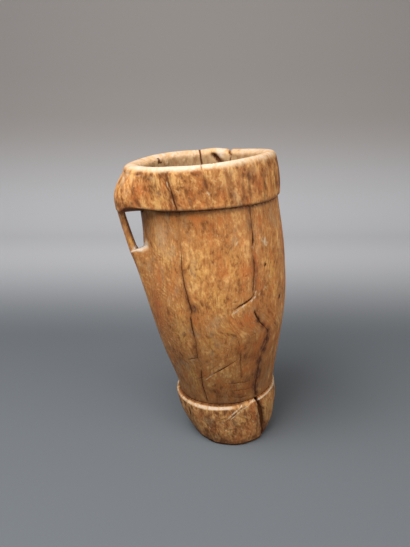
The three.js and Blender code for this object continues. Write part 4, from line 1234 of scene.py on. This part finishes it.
def make_wood(name, colours, tone, depth, rough):
    """Old hand-smoothed wood. The base goes from dark to light with blotches, small mottling and
    the upright grain, with redder, more golden and greyer places, and is darker towards the foot,
    partly the wood's own tone and partly painted shade. The mesh's marks lay stained, worn and
    cracked wood over it, with painted shade in creases, under the rim band and at the base, and a
    painted highlight on the handle's shelf. tone is (brightness, greyness, half range of the
    mottling)."""
    brightness, greyness, spread = tone
    make = Nodes(name)
    grain = make.mark("grain", "Vector")

    # Shares of light wood: blotches, mottling, and grain that comes and goes
    half = make.stretched(grain, (1, 1, 0.5))
    blotch = make.noise(make.place, 34, distortion=0.3)
    patches = make.noise(half, 105, distortion=0.2)
    mottle = make.noise(half, 290, 2, distortion=0.1)
    streaks = make.noise(make.stretched(grain, (1, 1, 0.09)), 520)
    speck = make.noise(make.stretched(grain, (1, 1, 0.3)), 900, 3, 0.7, 0.3)
    amount = make.sums("MULTIPLY_ADD", patches, 0.4, make.times(blotch, 0.3))
    amount = make.sums("MULTIPLY_ADD", mottle, 0.3, amount)
    darker = make.between(amount, 0.5 - spread, 0.5)
    lighter = make.between(amount, 0.5, 0.5 + spread)
    colour = make.blend(darker, colours.dark, colours.middle)
    colour = make.blend(lighter, colour, colours.light)

    # Hues that wander: oiled red, dry grey and golden
    hue = make.noise(make.stretched(make.place, (1, 1, 0.6)), 62)
    colour = make.blend(make.between(hue, 0.54, 0.68, 0, 0.5), colour, colours.red)
    colour = make.blend(make.between(hue, 0.46, 0.32, 0, 0.45), colour, colours.grey)
    red = make.times(make.mark("red"), make.between(mottle, 0.3, 0.58, 0.35, 1))
    colour = make.blend(make.sums("MULTIPLY", red, 0.9, clamp=True), colour, colours.red)
    gold = make.times(make.mark("gold"), make.between(mottle, 0.38, 0.58, 0.1, 1))
    colour = make.blend(make.times(gold, 0.8), colour, colours.gold)

    # Upright grain and small dark and light specks
    thin = make.times(make.between(streaks, 0.5, 0.68), make.between(patches, 0.35, 0.6))
    colour = make.blend(make.times(thin, 0.4), colour, GRAIN_SHADE, "MULTIPLY")
    dots = make.between(speck, 0.42, 0.3)
    colour = make.blend(make.times(dots, 0.5), colour, SPECK_SHADE, "MULTIPLY")
    glints = make.between(speck, 0.57, 0.72)
    colour = make.blend(make.times(glints, 0.35), colour, colours.glint)

    # Ripples of the blade, then darker towards the foot (partly the wood's own tone, partly painted
    # shade), duller, and dusty inside
    rippled = make.times(make.mark("tooled"), make.between(patches, 0.35, 0.6, 0.3, 1))
    colour = make.blend(make.times(rippled, 0.7), colour, RIPPLE_COLOUR)
    level = make.between(make.axes.outputs["Z"], 0.05, 0.21, 0.62, 1.0)
    tone_and_shade = make.blend(1.0, colour, make.even(make.times(level, brightness)), "MULTIPLY")
    colour = make.blend(greyness, tone_and_shade, colours.grey)
    dusty = make.blend(make.between(patches, 0.26, 0.6), colours.hollow, colours.dust)
    colour = make.blend(make.mark("inside"), colour, dusty)

    # Stains, worn edges and cracks, which also carry painted shade and painted highlights, with
    # edges that the mottling breaks up
    stain_and_shade = make.times(make.mark("stain_and_shade"), make.between(mottle, 0.36, 0.6, 0.5, 1))
    colour = make.blend(stain_and_shade, colour, colours.stain_and_shade)
    chipped = make.noise(make.place, 260)
    worn = make.sums("MULTIPLY_ADD", chipped, 0.5, -0.25)
    worn = make.between(make.sums("ADD", make.mark("worn"), worn), 0.05, 0.95)
    paleness = make.between(make.mark("worn"), 0.55, 1.0)
    paleness = make.times(paleness, make.between(chipped, 0.3, 0.6, 0.4, 1))
    bare = make.blend(paleness, colours.worn, colours.pale)
    colour = make.blend(worn, colour, bare)
    crack = make.sums("SUBTRACT", mottle, 0.5)
    crack = make.sums("MULTIPLY_ADD", crack, 0.9, make.mark("crack"))
    near_crack = make.between(make.mark("crack"), 0.0, 0.15)
    crack = make.times(make.between(crack, 0.1, 0.8), near_crack)
    colour = make.blend(crack, colour, colours.crack)
    make.join(colour, make.shader.inputs["Base Color"])

    gloss = make.sums("MULTIPLY_ADD", mottle, 0.3, rough - 0.15)
    gloss = make.sums("MULTIPLY_ADD", worn, 0.12, gloss)
    gloss = make.sums("MULTIPLY_ADD", crack, 0.3, gloss, clamp=True)
    make.join(gloss, make.shader.inputs["Roughness"])
    make.shader.inputs["Specular IOR Level"].default_value = 0.2
    relief = make.bump(mottle, 0.0009 * depth, 0.8)
    relief = make.bump(streaks, 0.0003 * depth, 0.6, relief)
    relief = make.bump(speck, 0.0004 * depth, 0.8, relief)
    make.join(relief, make.shader.inputs["Normal"])
    return make.material


def make_stage_grey(name, colours):
    """Matt grey with painted light: the floor is even, a paler belt where it turns up behind is
    painted light, and the backdrop's fall-off a little towards the top is painted shade."""
    make = Nodes(name)
    back = make.between(make.axes.outputs["Y"], 0.26, 0.84)
    colour = make.blend(back, colours.floor, colours.belt)
    high = make.between(make.axes.outputs["Z"], -0.05, 0.33)
    colour = make.blend(high, colour, colours.backdrop)
    make.join(colour, make.shader.inputs["Base Color"])
    make.shader.inputs["Roughness"].default_value = 0.9
    make.shader.inputs["Specular IOR Level"].default_value = 0.1
    return make.material


def metres(name, description, value):
    """A size in metres for the panel."""
    return bpy.props.FloatProperty(
        name=name, description=description, default=value * MM, min=0, precision=4,
        subtype="DISTANCE", unit="LENGTH",
    )


def swatch(name, description, value):
    """A colour for the panel."""
    return bpy.props.FloatVectorProperty(
        name=name, description=description, default=value, size=3, min=0, max=1, subtype="COLOR",
    )


class ContainerSizes(bpy.types.PropertyGroup):
    """Sizes of the vessel."""

    foot_height: metres("Foot height", "Height of the foot at the neck", 66.4)
    body_height: metres("Body height", "From the neck to the rim band", 259)
    band_height: metres("Band height", "From the band's lower edge to the lip", 51.5)
    base_radius: metres("Base radius", "Mean radius of the foot on the ground", 54.3)
    neck_radius: metres("Neck radius", "Radius of the wall over the foot", 64.4)
    ledge_width: metres("Ledge width", "How far the foot stands out at the neck", 5.1)
    belly_radius: metres("Belly radius", "Radius of the wall at its widest", 91.6)
    shoulder_draw_in: metres("Shoulder draw-in", "From the belly in to the shoulder", 4.1)
    lip_width: metres("Lip width", "From the top of the lip in to the mouth", 9.8)
    wall_thickness: metres("Wall thickness", "Thickness of the wall", 15)
    lean: metres("Lean", "How far the lip leans to the handle's side", 40)
    handle_width: metres("Handle width", "Width of the strap at its ends", 25)
    handle_waist: metres("Handle waist", "Width of the strap in its middle", 22)
    handle_thickness: metres("Handle thickness", "Thickness of the strap at its top", 8.8)
    handle_taper: metres("Handle taper", "How much thicker the strap is at its foot", 1.4)
    gap_height: metres("Gap height", "Height of the gap behind the strap", 55.5)
    gap_bottom: metres("Gap at the bottom", "Width of the gap at its lower end", 7)
    gap_top: metres("Gap at the top", "Width of the gap at its upper end", 19.2)


class WoodColours(bpy.types.PropertyGroup):
    """Colours of the wood."""

    dark: swatch("Dark wood", "Darkest blotches", (0.21, 0.073, 0.02))
    middle: swatch("Middle wood", "Most of the surface", (0.46, 0.19, 0.056))
    light: swatch("Light wood", "Smoothed, lit places", (0.74, 0.395, 0.14))
    red: swatch("Red wood", "Oiled, reddish places", (0.52, 0.15, 0.034))
    gold: swatch("Golden wood", "Handled, golden places", (0.76, 0.41, 0.11))
    grey: swatch("Grey wood", "Dry, dull places", (0.4, 0.26, 0.14))
    glint: swatch("Specks", "Small light specks in the grain", (0.86, 0.6, 0.32))
    # Stain and cracks also paint the shade under the rim band, in creases, under the lug and at the
    # base
    stain_and_shade: swatch("Stain", "Old fat and dirt beside the cracks", (0.085, 0.027, 0.014))
    crack: swatch("Cracks", "Depth of the cracks and cuts", (0.085, 0.025, 0.005))
    # Worn and pale wood also paint the highlight on the handle's shelf
    worn: swatch("Worn wood", "Bare wood on worn edges", (0.6, 0.4, 0.22))
    pale: swatch("Pale wood", "Palest rubbed edges", (0.59, 0.48, 0.39))
    hollow: swatch("Hollow", "Dark wood inside", (0.26, 0.13, 0.055))
    dust: swatch("Dust", "Pale dust inside", (0.4, 0.255, 0.13))


class StageLook(bpy.types.PropertyGroup):
    """Colours of the floor and the backdrop, and the strength of the lamps."""

    floor: swatch("Floor", "Floor in front", (0.12, 0.136, 0.153))
    # The belt is painted light, and the darker backdrop above it painted fall-off of the light
    belt: swatch("Belt", "Where the floor turns up", (0.57, 0.585, 0.62))
    backdrop: swatch("Backdrop", "Backdrop above", (0.35, 0.325, 0.316))
    key: bpy.props.FloatProperty(
        name="Main lamp", description="Power of the large lamp overhead", default=26, min=0,
        unit="POWER",
    )
    fill: bpy.props.FloatProperty(
        name="Fill lamp", description="Power of the weak lamp on the right", default=9, min=0,
        unit="POWER",
    )
    sky: bpy.props.FloatProperty(
        name="Surroundings", description="Strength of the even light all round", default=0.38,
        min=0, subtype="FACTOR",
    )


def carve(context, carver, name, tone, depth, rough):
    """Makes a piece's wood, and carves the piece to the panel's sizes."""
    wood = make_wood(name, context.scene.container_colours, tone, depth, rough)
    carver(Form(context.scene.container_sizes), wood)
    return {"FINISHED"}


class CONTAINER_OT_rim_band(bpy.types.Operator):
    """Carve the rim band with its worn lip, broken place and lug"""

    bl_idname = "container.rim_band"
    bl_label = "Rim band"

    def execute(self, context):
        """Makes the piece and its wood."""
        return carve(context, carve_rim, "Rim band wood", (1.0, 0.0, 0.075), 0.9, 0.56)


class CONTAINER_OT_wall(bpy.types.Operator):
    """Carve the leaning wall with its cracks, cuts and spur"""

    bl_idname = "container.wall"
    bl_label = "Wall"

    def execute(self, context):
        """Makes the piece and its wood."""
        return carve(context, carve_wall, "Wall wood", (1.0, 0.0, 0.135), 0.8, 0.54)


class CONTAINER_OT_handle(bpy.types.Operator):
    """Carve the strap handle between the spur and the lug"""

    bl_idname = "container.handle"
    bl_label = "Strap handle"

    def execute(self, context):
        """Makes the piece and its wood."""
        return carve(context, carve_handle, "Handle wood", (0.92, 0.0, 0.09), 0.7, 0.5)


class CONTAINER_OT_foot(bpy.types.Operator):
    """Carve the swelling foot with its worn ledge and deep split"""

    bl_idname = "container.foot"
    bl_label = "Foot"

    def execute(self, context):
        """Makes the piece and its wood."""
        return carve(context, carve_foot, "Foot wood", (1.25, 0.06, 0.065), 1.8, 0.66)


class CONTAINER_OT_floor(bpy.types.Operator):
    """Carve the thick floor at the bottom of the hollow"""

    bl_idname = "container.floor"
    bl_label = "Floor of the hollow"

    def execute(self, context):
        """Makes the piece and its wood."""
        return carve(context, carve_floor, "Hollow wood", (0.75, 0.3, 0.1), 1.3, 0.75)


def add_lamp(name, place, size, power, tint):
    """A square lamp at a place, turned towards the middle of the vessel."""
    data = bpy.data.lights.new(name, "AREA")
    data.shape = "SQUARE"
    data.size = size
    data.energy = power
    data.color = tint
    lamp = bpy.data.objects.new(name, data)
    bpy.context.scene.collection.objects.link(lamp)
    lamp.location = place
    way = [end - start for start, end in zip(place, LAMP_TARGET)]
    flat = math.hypot(way[0], way[1])
    lamp.rotation_euler = (math.atan2(flat, -way[2]), 0, math.atan2(-way[0], way[1]))


class CONTAINER_OT_stage(bpy.types.Operator):
    """Lay the floor and backdrop, hang the soft lamps and set up the camera"""

    bl_idname = "container.stage"
    bl_label = "Stage"

    def execute(self, context):
        """Makes the swept ground, the lamps, the surroundings and the camera."""
        scene = context.scene
        look = scene.container_stage
        turn = np.radians(np.linspace(0, 90, 25))
        y = np.concatenate([[-6.0, 0.2], 0.95 + 0.45 * np.sin(turn), [1.4]])
        z = np.concatenate([[0, 0], 0.45 * (1 - np.cos(turn)), [3.0]])
        points = [(x, a, b) for a, b in zip(y, z) for x in (-6.0, 6.0)]
        faces = [(2 * k, 2 * k + 1, 2 * k + 3, 2 * k + 2) for k in range(len(y) - 1)]
        mesh = bpy.data.meshes.new("swept_ground")
        mesh.from_pydata(points, [], faces)
        mesh.shade_smooth()
        mesh.materials.append(make_stage_grey("Stage grey", look))
        ground = bpy.data.objects.new("swept_ground", mesh)
        scene.collection.objects.link(ground)

        add_lamp("Main lamp", (-0.48, -0.5, 1.3), 0.9, look.key, (1.0, 0.98, 0.95))
        add_lamp("Fill lamp", (1.0, -0.8, 0.7), 1.0, look.fill, (1.0, 0.93, 0.84))
        world = bpy.data.worlds.new("Even light")
        world.use_nodes = True
        ground_light = world.node_tree.nodes["Background"]
        ground_light.inputs["Color"].default_value = (0.98, 0.99, 1.0, 1)
        ground_light.inputs["Strength"].default_value = look.sky
        scene.world = world

        data = bpy.data.cameras.new("Camera")
        data.sensor_fit = "AUTO"
        data.sensor_width = SENSOR
        data.lens = LENS
        camera = bpy.data.objects.new("Camera", data)
        camera.location = CAMERA_PLACE
        camera.rotation_euler = (math.radians(90 - CAMERA_DOWN), 0, 0)
        scene.collection.objects.link(camera)
        scene.camera = camera
        scene.view_settings.view_transform = "Standard"
        return {"FINISHED"}


class CONTAINER_PT_panel(bpy.types.Panel):
    """Lists the pieces, their sizes and the colours"""

    bl_label = "Carved container"
    bl_idname = "CONTAINER_PT_panel"
    bl_space_type = "VIEW_3D"
    bl_region_type = "UI"
    bl_category = "Container"

    def draw(self, context):
        """Draws the buttons, then the values under each heading."""
        layout = self.layout
        for operator in PIECES:
            layout.operator(operator.bl_idname)
        for heading, group in (
            ("Sizes", context.scene.container_sizes),
            ("Wood", context.scene.container_colours),
            ("Stage", context.scene.container_stage),
        ):
            box = layout.box()
            box.label(text=heading)
            for name in type(group).__annotations__:
                box.prop(group, name)


PIECES = (
    CONTAINER_OT_stage,
    CONTAINER_OT_foot,
    CONTAINER_OT_floor,
    CONTAINER_OT_wall,
    CONTAINER_OT_handle,
    CONTAINER_OT_rim_band,
)
GROUPS = (ContainerSizes, WoodColours, StageLook)


def register():
    """Registers the classes and hangs the values on the scene."""
    for item in (*GROUPS, *PIECES, CONTAINER_PT_panel):
        bpy.utils.register_class(item)
    bpy.types.Scene.container_sizes = bpy.props.PointerProperty(type=ContainerSizes)
    bpy.types.Scene.container_colours = bpy.props.PointerProperty(type=WoodColours)
    bpy.types.Scene.container_stage = bpy.props.PointerProperty(type=StageLook)


def unregister():
    """Takes the values and the classes away again."""
    del bpy.types.Scene.container_stage
    del bpy.types.Scene.container_colours
    del bpy.types.Scene.container_sizes
    for item in (CONTAINER_PT_panel, *reversed(PIECES), *reversed(GROUPS)):
        bpy.utils.unregister_class(item)


def main():
    register()
    bpy.ops.container.stage()
    bpy.ops.container.foot()
    bpy.ops.container.floor()
    bpy.ops.container.wall()
    bpy.ops.container.handle()
    bpy.ops.container.rim_band()


if __name__ == "__main__":
    main()
